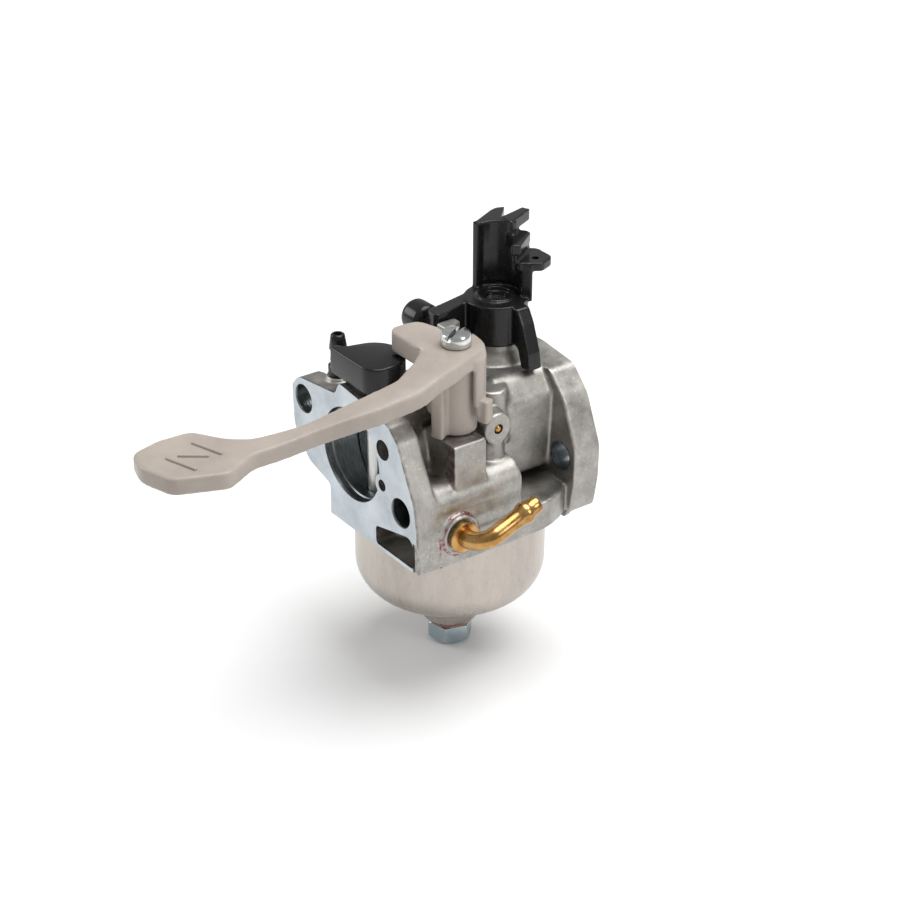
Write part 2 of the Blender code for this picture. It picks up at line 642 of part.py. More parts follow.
def choke_lever(pivot):
    """Grey lever: thumb pad, arm and drive finger in one plate, above a slotted hub."""
    thickness = 4.3
    outline = rounded(
        [
            (0.7, 10.6, 2.4), (13.3, 10.4, 1.0), (17.0, 6.0, 4), (21.2, -1.6, 5), (20.2, -11, 8),
            (18.4, -24, 10), (14.6, -35.2, 6), (10.8, -39.3, 3), (4.0, -43.6, 3.0), (3.5, -51.5, 5),
            (5.4, -58.7, 3.0), (12.0, -60.9, 5), (21.0, -58.0, 3.5), (25.3, -46.4, 3.5), (20.9, -37.9, 5),
            (23.0, -24, 10), (27.4, -9.5, 12), (28.6, 0.5, 12), (25.0, 12.5, 12), (20.2, 24.6, 5.5),
            (12.0, 26.2, 4.5), (7.6, 20.6, 3), (0.9, 18.4, 3.2),
        ]
    )  # fmt: skip
    lever = prism("choke_lever", outline, "XY", LEVER_TOP - thickness, LEVER_TOP)
    bm = bmesh.new()
    bm.from_mesh(lever.data)
    for y in (8, 2, -4, -10, -16, -22, -28, -34, -38):
        plane = point((0, y, 0))
        bmesh.ops.bisect_plane(
            bm, geom=bm.verts[:] + bm.edges[:] + bm.faces[:], plane_co=plane, plane_no=(0, 1, 0), dist=1e-6
        )
    for vert in bm.verts:
        vert.co.z += (lever_top(vert.co.y / MM + BODY_LENGTH) - LEVER_TOP) * MM
    bm.to_mesh(lever.data)
    bm.free()
    hub_low = LEDGE_Z + GAP
    skirt = prism("lever_skirt", sector(PIVOT, 5.7, 7.0, 10, 300), "XY", 13.4, 26.0)
    left_tab = prism("lever_left_tab", sector(PIVOT, 5.4, 7.9, 274, 302), "XY", hub_low, 26.0)
    right_tab = prism("lever_right_tab", sector(PIVOT, 5.8, 8.8, 16, 40), "XY", 11.5, 17.0)
    barrel = drum("lever_barrel", 4.9, (*PIVOT, hub_low), (*PIVOT, 26), sides=32)
    web = prism("lever_web", sector(PIVOT, 4.0, 6.5, 80, 240, 20), "XY", 13.7, 26.0)
    join(lever, skirt, left_tab, right_tab, barrel, web)
    cut(lever, drum("lever_bore", 3.1 + GAP, (*PIVOT, 5), (*PIVOT, 32), sides=28))
    slot = rounded([(-20, -1.9, 0), (-11.6, -1.9, 1.8), (-11.6, 1.9, 1.8), (-20, 1.9, 0)])
    groove = prism("lever_slot", slot, "XY", 24.0, 27.4)
    pin_x, pin_y = around((0, CHOKE_Y), DRIVE_PIN_R, DRIVE_PIN_DEG)
    slot_angle = math.atan2(PIVOT[1] - pin_y, PIVOT[0] - pin_x)
    centre = Matrix.Translation(point((*PIVOT, 0)))
    origin = Matrix.Translation(point((0, 0, 0)))
    groove.data.transform(centre @ Matrix.Rotation(slot_angle, 4, "Z") @ origin.inverted())
    cut(lever, groove)
    return finish(lever, "grey_plastic", pivot)


def choke_lever_screw():
    base = LEVER_TOP + 0.1
    screw = turned(
        "choke_lever_screw",
        [(0, 3.3), (3.1, 3.3), (3.55, 2.9), (3.55, 0), (1.5, 0), (1.5, -9), (0, -9)],
        (*PIVOT, base),
        steps=36,
    )
    slot = box("screw_slot", (-5, -0.55, 1.9), (5, 0.55, 5))
    origin = Matrix.Translation(point((0, 0, 0)))
    place = Matrix.Translation(point((*PIVOT, base)))
    slot.data.transform(place @ Matrix.Rotation(math.radians(78), 4, "Z") @ origin.inverted())
    return finish(cut(screw, slot), "zinc_steel")


# ---------------------------------------------------------------- throttle


def throttle_valve(pivot):
    shaft, plate, across = plate_and_shaft(
        "throttle", THROTTLE_Y, THROTTLE_SHAFT_R, OUTLET_R - GAP, THROTTLE_IDLE_DEG, (-13.1, 17), OUTLET_R, -1
    )
    upper = drum("throttle_shaft_upper", 2.5, (0, THROTTLE_Y, 15), (0, THROTTLE_Y, 28.6), sides=28)
    flat = box("throttle_shaft_flat", (-3, THROTTLE_Y - 4, 17.8), (3, THROTTLE_Y - 1.8, 30))
    cut(plate, drum("throttle_plate_hole", 1.1 + GAP, across(-2), across(2), sides=14))
    finish(cut(join(shaft, upper), flat), "zinc_steel", pivot)
    finish(plate, "brass", pivot)
    screw = drum("throttle_plate_screw", 2.1, across(1.9), across(0.5 + GAP), sides=20)
    join(screw, drum("throttle_screw_stem", 1.1, across(1.2), across(-0.5), sides=14))
    finish(screw, "brass", pivot)


def throttle_lever(pivot):
    """Black lever on the throttle shaft: collar, half-round mast, spring hooks and stop arms."""
    axis = (0, THROTTLE_Y)
    low, high = COLLAR_BOTTOM, COLLAR_TOP
    lever = drum("throttle_lever", COLLAR_R, (*axis, low), (*axis, high), sides=40)
    steps = ((104, 190, 7.7, 46.0), (82, 106, 7.7, 42.6), (50, 84, 7.8, 38.0), (42, 52, 8.6, 37.4))
    mast = [
        prism(f"mast_{start}", sector(axis, 6.0, outer, start, end), "XY", high - 1, top)
        for start, end, outer, top in steps
    ]
    link_plate = rounded(
        [
            (0.2, 47.6, 0), (3.6, 44.8, 0), (7.6, 49.6, 1.5),
            (5.6, 55.0, 3.0), (-1.4, 55.0, 2.5), (-2.6, 50.4, 0),
        ]
    )
    hook_low = [(3.4, 43.6), (4.6, 45.6), (-0.6, 52.6), (-2.0, 52.6), (-4.2, 50.8), (-4.2, 47.4), (0.4, 46.6)]
    hook_high = [(-2.2, 47.4), (-2.4, 49.4), (-5.6, 56.2), (-7.6, 55.4), (-5.8, 48.0)]
    fin = [
        (-7.4, 41.2), (-6.0, 42.6), (-5.2, 45.6), (-5.6, 47.6),
        (-10.8, 52.6), (-11.6, 50.6), (-11.2, 48.8),
    ]
    join(
        lever,
        *mast,
        prism("link_plate", link_plate, "XY", 36.0, 38.2),
        prism("hook_low", hook_low, "XY", 40.3, 42.8),
        prism("hook_high", hook_high, "XY", 43.3, 46.2),
        prism("fin", fin, "XY", 42.5, 46.0),
    )
    arm = rounded(
        [
            (-6.3, 38.6, 0), (-4.1, 28.0, 3), (-3.6, 24.2, 1.0),
            (0.6, 23.9, 1.0), (0.6, 27.4, 2), (1.6, 36.6, 0),
        ]
    )
    join(
        lever,
        prism("idle_arm", arm, "XY", 21.2, 29.2),
        prism("stop_arm", throttle_stop_outline(), "XZ", THROTTLE_Y - 1.2, THROTTLE_Y + 2.8),
    )
    tip = (IDLE_SCREW_Y, IDLE_SCREW_Z)
    cut(
        lever,
        drum("collar_bore", 2.5 + GAP, (*axis, low - 1), (*axis, high + 1), sides=28),
        drum("collar_dish", 3.4, (*axis, 28.8), (*axis, high + 1), sides=28),
        drum("link_hole", 0.9, (3.3, 51.2, 35), (3.3, 51.2, 40), sides=14),
        drum("idle_screw_hole", 1.6 + GAP, (-6, *tip), (3, *tip), sides=18),
    )
    return finish(lever, "black_plastic", pivot)


def throttle_stop_outline():
    """The full-throttle stop arm in the XZ plane: out from the collar and down to a foot."""
    return rounded(
        [
            (5.0, 28.8, 0), (9.2, 29.0, 1.2), (12.0, 24.4, 2), (14.2, 19.0, 2), (14.6, 15.1, 0.4),
            (11.2, 15.1, 0.4), (9.8, 19.8, 1.5), (5.0, 20.4, 0),
        ]
    )  # fmt: skip


def throttle_shaft_seal():
    profile = [(4.9, 18.7), (4.9, 16.9), (3.5, 16.9), (3.5, 18.7)]
    return finish(turned("throttle_shaft_seal", profile, (0, THROTTLE_Y, 0), steps=32), "black_rubber")


def idle_speed_screw(pivot):
    screw = turned(
        "idle_speed_screw",
        [
            (0, 0), (3.4, 0), (4.0, -0.8), (4.0, -5.8), (3.4, -6.6), (1.6, -6.6), (1.6, -11.9), (1.2, -12.4),
            (0, -12.4),
        ],  # fmt: skip
        (IDLE_SCREW_X, IDLE_SCREW_Y, IDLE_SCREW_Z),
        direction=(-1, 0, 0),
        steps=28,
    )
    x, y, z = IDLE_SCREW_X, IDLE_SCREW_Y, IDLE_SCREW_Z
    slot = box("idle_slot", (x - 1, y - 0.6, z - 2.8), (x + 1.4, y + 0.6, z + 2.8))
    return finish(cut(screw, slot), "black_plastic", pivot)


# ---------------------------------------------------------------- small fittings


def mixture_screw(pivot):
    """Idle mixture screw with its spring and limiter cap, on the side away from the fuel inlet."""
    base = (-24.6, MIXTURE_Y, MIXTURE_Z)
    screw = turned(
        "mixture_screw",
        [(0, 0), (2.4, 0), (2.7, -0.4), (2.7, -1.6), (1.2, -1.6), (1.2, -5.4), (1.7, -5.5), (1.7, -12.8),
         (0.7, -15.0), (0.3, -17.0), (0, -17.0)],
        base,
        direction=(-1, 0, 0),
        steps=24,
    )  # fmt: skip
    finish(screw, "brass", pivot)
    cap = turned(
        "mixture_limiter_cap",
        [(0, 1.7), (3.2, 1.7), (3.5, 1.3), (3.5, -1.4), (3.0, -1.4), (3.0, GAP), (0, GAP)],
        base,
        direction=(-1, 0, 0),
        steps=24,
    )
    ear_low = (-26.2, MIXTURE_Y - 0.9, MIXTURE_Z + 3.2)
    ear_high = (-23.4, MIXTURE_Y + 0.9, MIXTURE_Z + 5.0)
    ear = box("limiter_ear", ear_low, ear_high)
    finish(join(cap, ear), "black_plastic", pivot)
    turns, per_turn, wire = 4, 10, 0.28
    first, last = -22.4, -19.0 - GAP - wire
    coil = []
    for k in range(turns * per_turn + 1):
        a = 2 * math.pi * k / per_turn
        x = first + (last - first) * k / (turns * per_turn)
        coil.append((x, MIXTURE_Y + 1.9 * math.cos(a), MIXTURE_Z + 1.9 * math.sin(a)))
    finish(tube("mixture_spring", coil, wire, resolution=1), "zinc_steel")


def vent_nipple():
    """Barbed hose nipple beside the choke cap."""
    profile = [
        (1.3, 24.3), (1.55, 24.1), (2.15, 20.5), (1.5, 20.5), (1.5, 20.1), (1.95, 17.5), (1.4, 17.5),
        (1.4, 16.9), (2.5, 16.3), (2.5, 13.7 + GAP), (1.5, 13.7 + GAP), (1.5, 7.7), (0.8, 7.7), (0.8, 24.3),
    ]  # fmt: skip
    return finish(turned("vent_nipple", profile, (*VENT, 0), steps=24), "black_plastic")


def passage_plug():
    """Brass ball that seals the drilling in the side boss."""
    bm = bmesh.new()
    bmesh.ops.create_uvsphere(bm, u_segments=16, v_segments=10, radius=1.05 * MM)
    bmesh.ops.translate(bm, vec=point((20.2, PLUG_Y, PLUG_Z)), verts=bm.verts)
    return finish(mesh_object("passage_plug", bm), "brass", smooth_deg=80)


def main():
    clear_scene()
    make_materials()
    choke_axis = pivot_empty("choke_axis", (0, CHOKE_Y, 0))
    lever_axis = pivot_empty("choke_lever_axis", (*PIVOT, LEVER_TOP))
    throttle_axis = pivot_empty("throttle_axis", (0, THROTTLE_Y, 0))
    idle_axis = pivot_empty("idle_screw_axis", (IDLE_SCREW_X, IDLE_SCREW_Y, IDLE_SCREW_Z))
    mixture_axis = pivot_empty("mixture_screw_axis", (-24.6, MIXTURE_Y, MIXTURE_Z))
    float_axis = pivot_empty("float_axis", FLOAT_PIN)
    needle_axis = pivot_empty("needle_axis", (*NEEDLE, -20))
    carburetor_body()
    float_bowl()
    bowl_gasket()
    bowl_bolt()
    bowl_washer()
    fuel_inlet_elbow()
    needle_parts(needle_axis)
    float_parts(float_axis)
    jets()
    choke_valve(choke_axis)
    choke_lever(lever_axis)
    choke_lever_screw()
    throttle_valve(throttle_axis)
    throttle_lever(throttle_axis)
    throttle_shaft_seal()
    idle_speed_screw(idle_axis)
    mixture_screw(mixture_axis)
    vent_nipple()
    passage_plug()
    float_axis.rotation_euler.x = -math.radians(FLOAT_DROP_DEG)
    needle_axis.location.z -= math.sin(math.radians(FLOAT_DROP_DEG)) * (NEEDLE[1] - FLOAT_PIN[1]) * MM
    bpy.context.view_layer.update()


main()
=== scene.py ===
"""Looks of the float carburetor: casting, bowl, brass, plastic pieces, floor, light and camera.

Shapes are made in millimetres. A place is (x, y, z), with y measured back from the air cleaner face,
and goes to the row frame, in metres, when a piece is finished.
"""

import json
import math

import bmesh
import bpy
from mathutils import Matrix, Vector


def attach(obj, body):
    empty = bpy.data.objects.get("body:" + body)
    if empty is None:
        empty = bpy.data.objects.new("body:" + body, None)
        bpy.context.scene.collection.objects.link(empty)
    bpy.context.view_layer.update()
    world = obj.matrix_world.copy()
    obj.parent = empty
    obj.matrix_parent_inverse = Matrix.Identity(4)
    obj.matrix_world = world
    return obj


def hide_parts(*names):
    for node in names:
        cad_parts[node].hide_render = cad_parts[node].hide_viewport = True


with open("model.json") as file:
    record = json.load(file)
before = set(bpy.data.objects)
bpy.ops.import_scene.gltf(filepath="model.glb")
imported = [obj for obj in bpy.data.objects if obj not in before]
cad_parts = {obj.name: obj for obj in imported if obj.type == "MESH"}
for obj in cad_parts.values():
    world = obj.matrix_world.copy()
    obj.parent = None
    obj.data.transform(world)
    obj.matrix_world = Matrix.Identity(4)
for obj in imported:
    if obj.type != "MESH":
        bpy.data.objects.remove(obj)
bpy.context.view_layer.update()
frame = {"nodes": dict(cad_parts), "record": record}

MM = 0.001
LENGTH = 54.0
TO_ROW = Matrix.Diagonal((MM, MM, MM, 1.0)) @ Matrix.Translation((0, -LENGTH, 0))
PIVOT = (16.0, 18.5)
VENT = (-13.6, 6.0)
PILOT = (-6.0, 27.0)
NOZZLE_Y, CHOKE_Y, THROTTLE_Y = 28.5, 7.5, 42.0
INLET_Y, INLET_Z = 12.0, -12.9
FLOOR_Z = -61.0

PLANES = {
    "XY": Matrix.Identity(3),
    "XZ": Matrix(((1, 0, 0), (0, 0, -1), (0, 1, 0))),
    "YZ": Matrix(((0, 0, 1), (1, 0, 0), (0, 1, 0))),
}


# ---------------------------------------------------------------- shape helpers


def new_object(name, bm):
    mesh = bpy.data.meshes.new(name)
    bmesh.ops.recalc_face_normals(bm, faces=bm.faces)
    bm.to_mesh(mesh)
    bm.free()
    obj = bpy.data.objects.new(name, mesh)
    bpy.context.scene.collection.objects.link(obj)
    return obj


def rounded(corners, step_deg=9):
    """An outline from (a, b, radius) corners, with an arc at each corner that has a radius."""
    points = []
    for i, (a, b, radius) in enumerate(corners):
        here = Vector((a, b))
        if not radius:
            points.append(here)
            continue
        back = (Vector(corners[i - 1][:2]) - here).normalized()
        ahead = (Vector(corners[(i + 1) % len(corners)][:2]) - here).normalized()
        half = back.angle(ahead) / 2
        centre = here + (back + ahead).normalized() * (radius / math.sin(half))
        first = here + back * (radius / math.tan(half)) - centre
        turn = (math.pi - 2 * half) * (1 if back.cross(ahead) < 0 else -1)
        steps = max(1, round(abs(math.degrees(turn)) / step_deg))
        for k in range(steps + 1):
            points.append(centre + Matrix.Rotation(turn * k / steps, 2) @ first)
    return points


def prism(name, outline, plane, low, high):
    bm = bmesh.new()
    turn = PLANES[plane]
    sign = -1 if plane == "XZ" else 1
    rings = []
    for level in (low, high):
        rings.append([bm.verts.new(turn @ Vector((p[0], p[1], sign * level))) for p in outline])
    count = len(outline)
    bm.faces.new(rings[0][::-1])
    bm.faces.new(rings[1])
    for i in range(count):
        j = (i + 1) % count
        bm.faces.new((rings[0][i], rings[0][j], rings[1][j], rings[1][i]))
    return new_object(name, bm)


def box(name, low, high):
    outline = [(low[0], low[1]), (high[0], low[1]), (high[0], high[1]), (low[0], high[1])]
    return prism(name, outline, "XY", low[2], high[2])


def lathe(name, profile, base=(0, 0, 0), direction=(0, 0, 1), steps=72):
    """A turned solid from a closed (radius, height) profile. A radius of 0 is on the axis."""
    bm = bmesh.new()
    rings = []
    for radius, height in profile:
        if radius < 1e-6:
            rings.append([bm.verts.new((0, 0, height))])
            continue
        ring = []
        for k in range(steps):
            a = 2 * math.pi * k / steps
            ring.append(bm.verts.new((radius * math.cos(a), radius * math.sin(a), height)))
        rings.append(ring)
    closed = len(rings[0]) > 1
    for first, last in zip(rings, rings[1:] + rings[:1] if closed else rings[1:]):
        for k in range(steps):
            j = (k + 1) % steps
            loop = [first[k % len(first)], first[j % len(first)], last[j % len(last)], last[k % len(last)]]
            corners = list(dict.fromkeys(loop))
            if len(corners) > 2:
                bm.faces.new(corners)
    turn = Vector(direction).to_track_quat("Z", "Y").to_matrix().to_4x4()
    bmesh.ops.transform(bm, matrix=Matrix.Translation(base) @ turn, verts=bm.verts)
    return new_object(name, bm)


def drum(name, radius, start, end, end_radius=None, steps=64):
    start, end = Vector(start), Vector(end)
    length = (end - start).length
    last = radius if end_radius is None else end_radius
    return lathe(name, [(0, 0), (radius, 0), (last, length), (0, length)], start, end - start, steps)


def sweep(name, path, radii, steps=28):
    """A round bar of changing radius along a path, closed at both ends."""
    bm = bmesh.new()
    path = [Vector(p) for p in path]
    ahead, behind = [*path[1:], path[-1]], [path[0], *path[:-1]]
    tangents = [(after - before).normalized() for after, before in zip(ahead, behind)]
    side = tangents[0].orthogonal().normalized()
    rings = []
    for place, tangent, radius in zip(path, tangents, radii):
        side = (side - tangent * side.dot(tangent)).normalized()
        up = tangent.cross(side)
        angles = (2 * math.pi * k / steps for k in range(steps))
        rings.append(
            [bm.verts.new(place + (side * math.cos(a) + up * math.sin(a)) * radius) for a in angles]
        )
    for first, last in zip(rings, rings[1:]):
        for k in range(steps):
            j = (k + 1) % steps
            bm.faces.new((first[k], first[j], last[j], last[k]))
    bm.faces.new(rings[0])
    bm.faces.new(rings[-1])
    return new_object(name, bm)


def around(centre, radius, angle_deg):
    angle = math.radians(angle_deg)
    return (centre[0] + radius * math.cos(angle), centre[1] + radius * math.sin(angle))


def sector(centre, inner, outer, start_deg, end_deg, step_deg=6):
    steps = max(1, round((end_deg - start_deg) / step_deg))
    angles = [start_deg + (end_deg - start_deg) * i / steps for i in range(steps + 1)]
    arc = [around(centre, outer, a) for a in angles]
    return arc + [around(centre, inner, a) for a in reversed(angles)]


def bake(obj):
    """Replaces the object's mesh with its evaluated shape."""
    bpy.context.view_layer.update()
    graph = bpy.context.evaluated_depsgraph_get()
    mesh = bpy.data.meshes.new_from_object(obj.evaluated_get(graph))
    mesh.materials.clear()
    obj.modifiers.clear()
    obj.data = mesh
    return obj


def combine(obj, operation, tools):
    for tool in tools:
        modifier = obj.modifiers.new("combine", "BOOLEAN")
        modifier.operation = operation
        modifier.solver = "MANIFOLD"
        modifier.object = tool
        bake(obj)
        bpy.data.objects.remove(tool)
    return obj


def join(obj, *tools):
    return combine(obj, "UNION", tools)


def cut(obj, *tools):
    return combine(obj, "DIFFERENCE", tools)


def soften(obj, voxel, rounds):
    """Rounds every edge and corner, as a mould does."""
    remesh = obj.modifiers.new("voxels", "REMESH")
    remesh.mode = "VOXEL"
    remesh.voxel_size = voxel
    smooth = obj.modifiers.new("smooth", "SMOOTH")
    smooth.factor = 0.5
    smooth.iterations = rounds
    return bake(obj)


def bevel(obj, width, segments=3, angle_deg=40):
    modifier = obj.modifiers.new("edges", "BEVEL")
    modifier.width = width
    modifier.segments = segments
    modifier.limit_method = "ANGLE"
    modifier.angle_limit = math.radians(angle_deg)
    modifier.harden_normals = False
    return bake(obj)


def turn_about(obj, place, angle_deg):
    """Turns a shape about an upright axis."""
    centre = Matrix.Translation(place)
    obj.data.transform(centre @ Matrix.Rotation(math.radians(angle_deg), 4, "Z") @ centre.inverted())
    return obj


def place(obj, body, slot, materials, nodes, smooth_deg=35):
    """Puts a finished piece in the row frame, on its body, in place of its CAD nodes."""
    obj.data.transform(TO_ROW)
    obj.data.shade_smooth()
    obj.data.set_sharp_from_angle(angle=math.radians(smooth_deg))
    if not obj.data.materials:
        for material in materials:
            obj.data.materials.append(material)
    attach(obj, body)
    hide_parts(*nodes)
    return obj


# ---------------------------------------------------------------- materials


class Nodes:
    """A small wrapper that adds and links shader nodes."""

    def __init__(self, name):
        self.material = bpy.data.materials.new(name)
        self.material.use_nodes = True
        self.tree = self.material.node_tree
        self.shader = self.tree.nodes["Principled BSDF"]
        self.place = self.add("ShaderNodeTexCoord").outputs["Object"]

    def add(self, kind, **settings):
        node = self.tree.nodes.new(kind)
        for key, value in settings.items():
            setattr(node, key, value)
        return node

    def link(self, source, target):
        self.tree.links.new(source, target)

    def set(self, **sockets):
        for key, value in sockets.items():
            self.shader.inputs[key.replace("_", " ")].default_value = value

    def noise(self, scale, detail=4.0, roughness=0.55, stretch=None):
        node = self.add("ShaderNodeTexNoise")
        node.inputs["Scale"].default_value = scale
        node.inputs["Detail"].default_value = detail
        node.inputs["Roughness"].default_value = roughness
        source = self.place
        if stretch:
            mapping = self.add("ShaderNodeMapping")
            mapping.inputs["Scale"].default_value = stretch
            self.link(source, mapping.inputs["Vector"])
            source = mapping.outputs["Vector"]
        self.link(source, node.inputs["Vector"])
        return node.outputs["Fac"]

    def ramp(self, source, stops):
        node = self.add("ShaderNodeValToRGB")
        while len(node.color_ramp.elements) < len(stops):
            node.color_ramp.elements.new(0.5)
        for element, (position, colour) in zip(node.color_ramp.elements, stops):
            element.position = position
            element.color = (*colour, 1.0)
        self.link(source, node.inputs["Fac"])
        return node.outputs["Color"]

    def spread(self, source, low, high, start=0.0, end=1.0):
        """Maps start..end of a value to low..high, and holds it there beyond."""
        node = self.add("ShaderNodeMapRange")
        for key, value in (("From Min", start), ("From Max", end), ("To Min", low), ("To Max", high)):
            node.inputs[key].default_value = value
        self.link(source, node.inputs["Value"])
        return node.outputs["Result"]

    def blend(self, factor, first, second):
        """A mix of two colours. Each is a tuple or a socket."""
        node = self.add("ShaderNodeMix", data_type="RGBA")
        self.link(factor, node.inputs["Factor"])
        colour_a, colour_b = (socket for socket in node.inputs if socket.type == "RGBA")
        for value, socket in ((first, colour_a), (second, colour_b)):
            if isinstance(value, tuple):
                socket.default_value = (*value, 1.0)
            else:
                self.link(value, socket)
        return next(socket for socket in node.outputs if socket.type == "RGBA")

    def maths(self, operation, first, second=None):
        node = self.add("ShaderNodeMath", operation=operation)
        for i, value in enumerate((first, second)):
            if value is None:
                continue
            if isinstance(value, (int, float)):
                node.inputs[i].default_value = value
            else:
                self.link(value, node.inputs[i])
        return node.outputs[0]

    def bump(self, *layers):
        """Bump from (height, strength, distance in millimetres) layers."""
        normal = None
        for height, strength, distance in layers:
            node = self.add("ShaderNodeBump")
            node.inputs["Strength"].default_value = strength
            node.inputs["Distance"].default_value = distance * MM
            self.link(height, node.inputs["Height"])
            if normal:
                self.link(normal, node.inputs["Normal"])
            normal = node.outputs["Normal"]
        self.link(normal, self.shader.inputs["Normal"])

    def colour(self, source):
        self.link(source, self.shader.inputs["Base Color"])

    def rough(self, source):
        self.link(source, self.shader.inputs["Roughness"])

    def pointiness(self, low, high):
        """1 on convex edges, or in hollows when low is above high."""
        source = self.add("ShaderNodeNewGeometry").outputs["Pointiness"]
        return self.spread(source, 0.0, 1.0, low, high)


def cast_metal():
    """Rough die casting: grainy beige-grey, worn light on edges, with painted shade darkening the hollows."""
    n = Nodes("cast_alloy_rough")
    n.set(Metallic=0.92)
    blotches = n.noise(170, 5, 0.6)
    grain = n.noise(1500, 3, 0.6)
    dark, middle, light = (0.25, 0.24, 0.225), (0.36, 0.345, 0.32), (0.47, 0.455, 0.43)
    tone = n.ramp(blotches, [(0.30, dark), (0.52, middle), (0.72, light)])
    flecks = n.spread(grain, 0.0, 0.45, 0.58, 0.74)
    tone = n.blend(flecks, tone, (0.72, 0.71, 0.69))
    pits = n.spread(n.noise(900, 2, 0.5), 1.0, 0.0, 0.28, 0.38)
    tone = n.blend(n.maths("MULTIPLY", pits, 0.25), tone, (0.16, 0.15, 0.14))
    edges = n.pointiness(0.52, 0.60)
    tone = n.blend(n.maths("MULTIPLY", edges, 0.45), tone, (0.74, 0.73, 0.71))
    # painted shade: concave hollows are darkened almost to black
    hollows = n.pointiness(0.48, 0.40)
    tone = n.blend(n.maths("MULTIPLY", hollows, 0.75), tone, (0.09, 0.085, 0.08))
    # painted shade along the edge just behind the machined front face
    tone = n.blend(shade_beside_machined_face(n), tone, (0.13, 0.125, 0.12))
    n.colour(n.blend(paint_marks(n), tone, (0.22, 0.02, 0.03)))
    n.rough(n.spread(blotches, 0.34, 0.52, 0.3, 0.7))
    n.bump((n.noise(420, 4, 0.6), 0.35, 0.10), (grain, 0.22, 0.04))
    return n.material


def shade_beside_machined_face(n):
    """Painted shade: a dark band on the rough skin just behind the machined front face, broken up by noise.
    """
    parts = n.add("ShaderNodeSeparateXYZ")
    n.link(n.place, parts.inputs[0])
    band = n.spread(parts.outputs[1], 1.0, 0.0, (0.25 - LENGTH) * MM, (0.9 - LENGTH) * MM)
    return n.maths("MULTIPLY", band, n.spread(n.noise(600, 3, 0.6), 0.25, 0.9, 0.4, 0.6))


def paint_marks(n):
    """Faint dark-red inspection paint: a ring round the fuel boss and a line in the rib's corner."""
    parts = n.add("ShaderNodeSeparateXYZ")
    n.link(n.place, parts.inputs[0])
    x, y, z = parts.outputs
    from_y = n.maths("SUBTRACT", y, (INLET_Y - LENGTH) * MM)
    from_z = n.maths("SUBTRACT", z, INLET_Z * MM)
    radius = n.maths("SQRT", n.maths("ADD", n.maths("POWER", from_y, 2.0), n.maths("POWER", from_z, 2.0)))
    off_ring = n.maths("ABSOLUTE", n.maths("SUBTRACT", radius, 5.1 * MM))
    ring = n.spread(off_ring, 1.0, 0.0, 0.15 * MM, 0.5 * MM)
    off_line = n.maths("ABSOLUTE", n.maths("SUBTRACT", y, (6.35 - LENGTH) * MM))
    line = n.spread(off_line, 1.0, 0.0, 0.1 * MM, 0.45 * MM)
    line = n.maths("MULTIPLY", line, n.spread(z, 1.0, 0.0, -9.0 * MM, -7.0 * MM))
    off_rib = n.maths("ABSOLUTE", n.maths("SUBTRACT", y, (11.9 - LENGTH) * MM))
    rib = n.spread(off_rib, 1.0, 0.0, 0.2 * MM, 0.7 * MM)
    rib = n.maths("MULTIPLY", rib, n.spread(z, 0.0, 1.0, -4 * MM, 0.0))
    marks = n.maths("MAXIMUM", n.maths("MAXIMUM", ring, line), rib)
    outside = n.spread(x, 0.0, 1.0, 19.5 * MM, 21.0 * MM)
    broken = n.spread(n.noise(700, 3, 0.7), 0.0, 0.85, 0.46, 0.56)
    return n.maths("MULTIPLY", n.maths("MULTIPLY", marks, outside), broken)


def machined_metal():
    n = Nodes("cast_alloy_machined")
    n.set(Metallic=0.95)
    clouds = n.noise(120, 4, 0.6)
    fine = n.noise(1100, 3, 0.6)
    tone = n.ramp(clouds, [(0.3, (0.36, 0.40, 0.43)), (0.7, (0.52, 0.56, 0.59))])
    n.colour(n.blend(n.spread(fine, 0.0, 0.4, 0.55, 0.75), tone, (0.68, 0.72, 0.74)))
    n.rough(n.spread(fine, 0.30, 0.46, 0.3, 0.7))
    marks = n.noise(500, 2, 0.5, stretch=(1.0, 1.0, 9.0))
    n.bump((marks, 0.15, 0.03), (fine, 0.2, 0.02))
    return n.material


# Painted shade: the bored alloy is painted much darker than the machined face, for the shade inside the air
# passage and the stud holes.
def bore_metal():
    n = Nodes("cast_alloy_bored_painted_shade")
    n.set(Metallic=0.95)
    rings = n.noise(420, 3, 0.6, stretch=(1.0, 5.0, 1.0))
    n.colour(n.ramp(rings, [(0.3, (0.12, 0.135, 0.14)), (0.7, (0.24, 0.26, 0.27))]))
    n.rough(n.spread(rings, 0.28, 0.42, 0.3, 0.7))
    n.bump((rings, 0.2, 0.04))
    return n.material


def bowl_metal():
    n = Nodes("drawn_steel_satin")
    n.set(Metallic=1.0, Anisotropic=0.35)
    streaks = n.noise(260, 5, 0.7, stretch=(1.0, 1.0, 0.30))
    spots = n.noise(650, 3, 0.6)
    tone = n.ramp(streaks, [(0.3, (0.41, 0.37, 0.33)), (0.7, (0.50, 0.455, 0.415))])
    n.colour(n.blend(n.spread(spots, 0.0, 0.4, 0.62, 0.72), tone, (0.34, 0.30, 0.265)))
    n.rough(n.spread(streaks, 0.24, 0.34, 0.3, 0.7))
    n.bump((n.noise(900, 3, 0.6), 0.12, 0.02), (n.noise(60, 2, 0.5), 0.15, 0.15))
    return n.material


def plated_steel(name, tint, rough):
    n = Nodes(name)
    n.set(Metallic=1.0)
    clouds = n.noise(260, 4, 0.6)
    low = tuple(0.72 * c for c in tint)
    tone = n.ramp(clouds, [(0.3, low), (0.7, tint)])
    worn = n.maths("MULTIPLY", n.pointiness(0.52, 0.60), 0.6)
    n.colour(n.blend(worn, tone, (0.90, 0.90, 0.88)))
    n.rough(n.spread(clouds, rough * 0.75, rough * 1.3, 0.3, 0.7))
    n.bump((n.noise(1400, 3, 0.6), 0.18, 0.02))
    return n.material


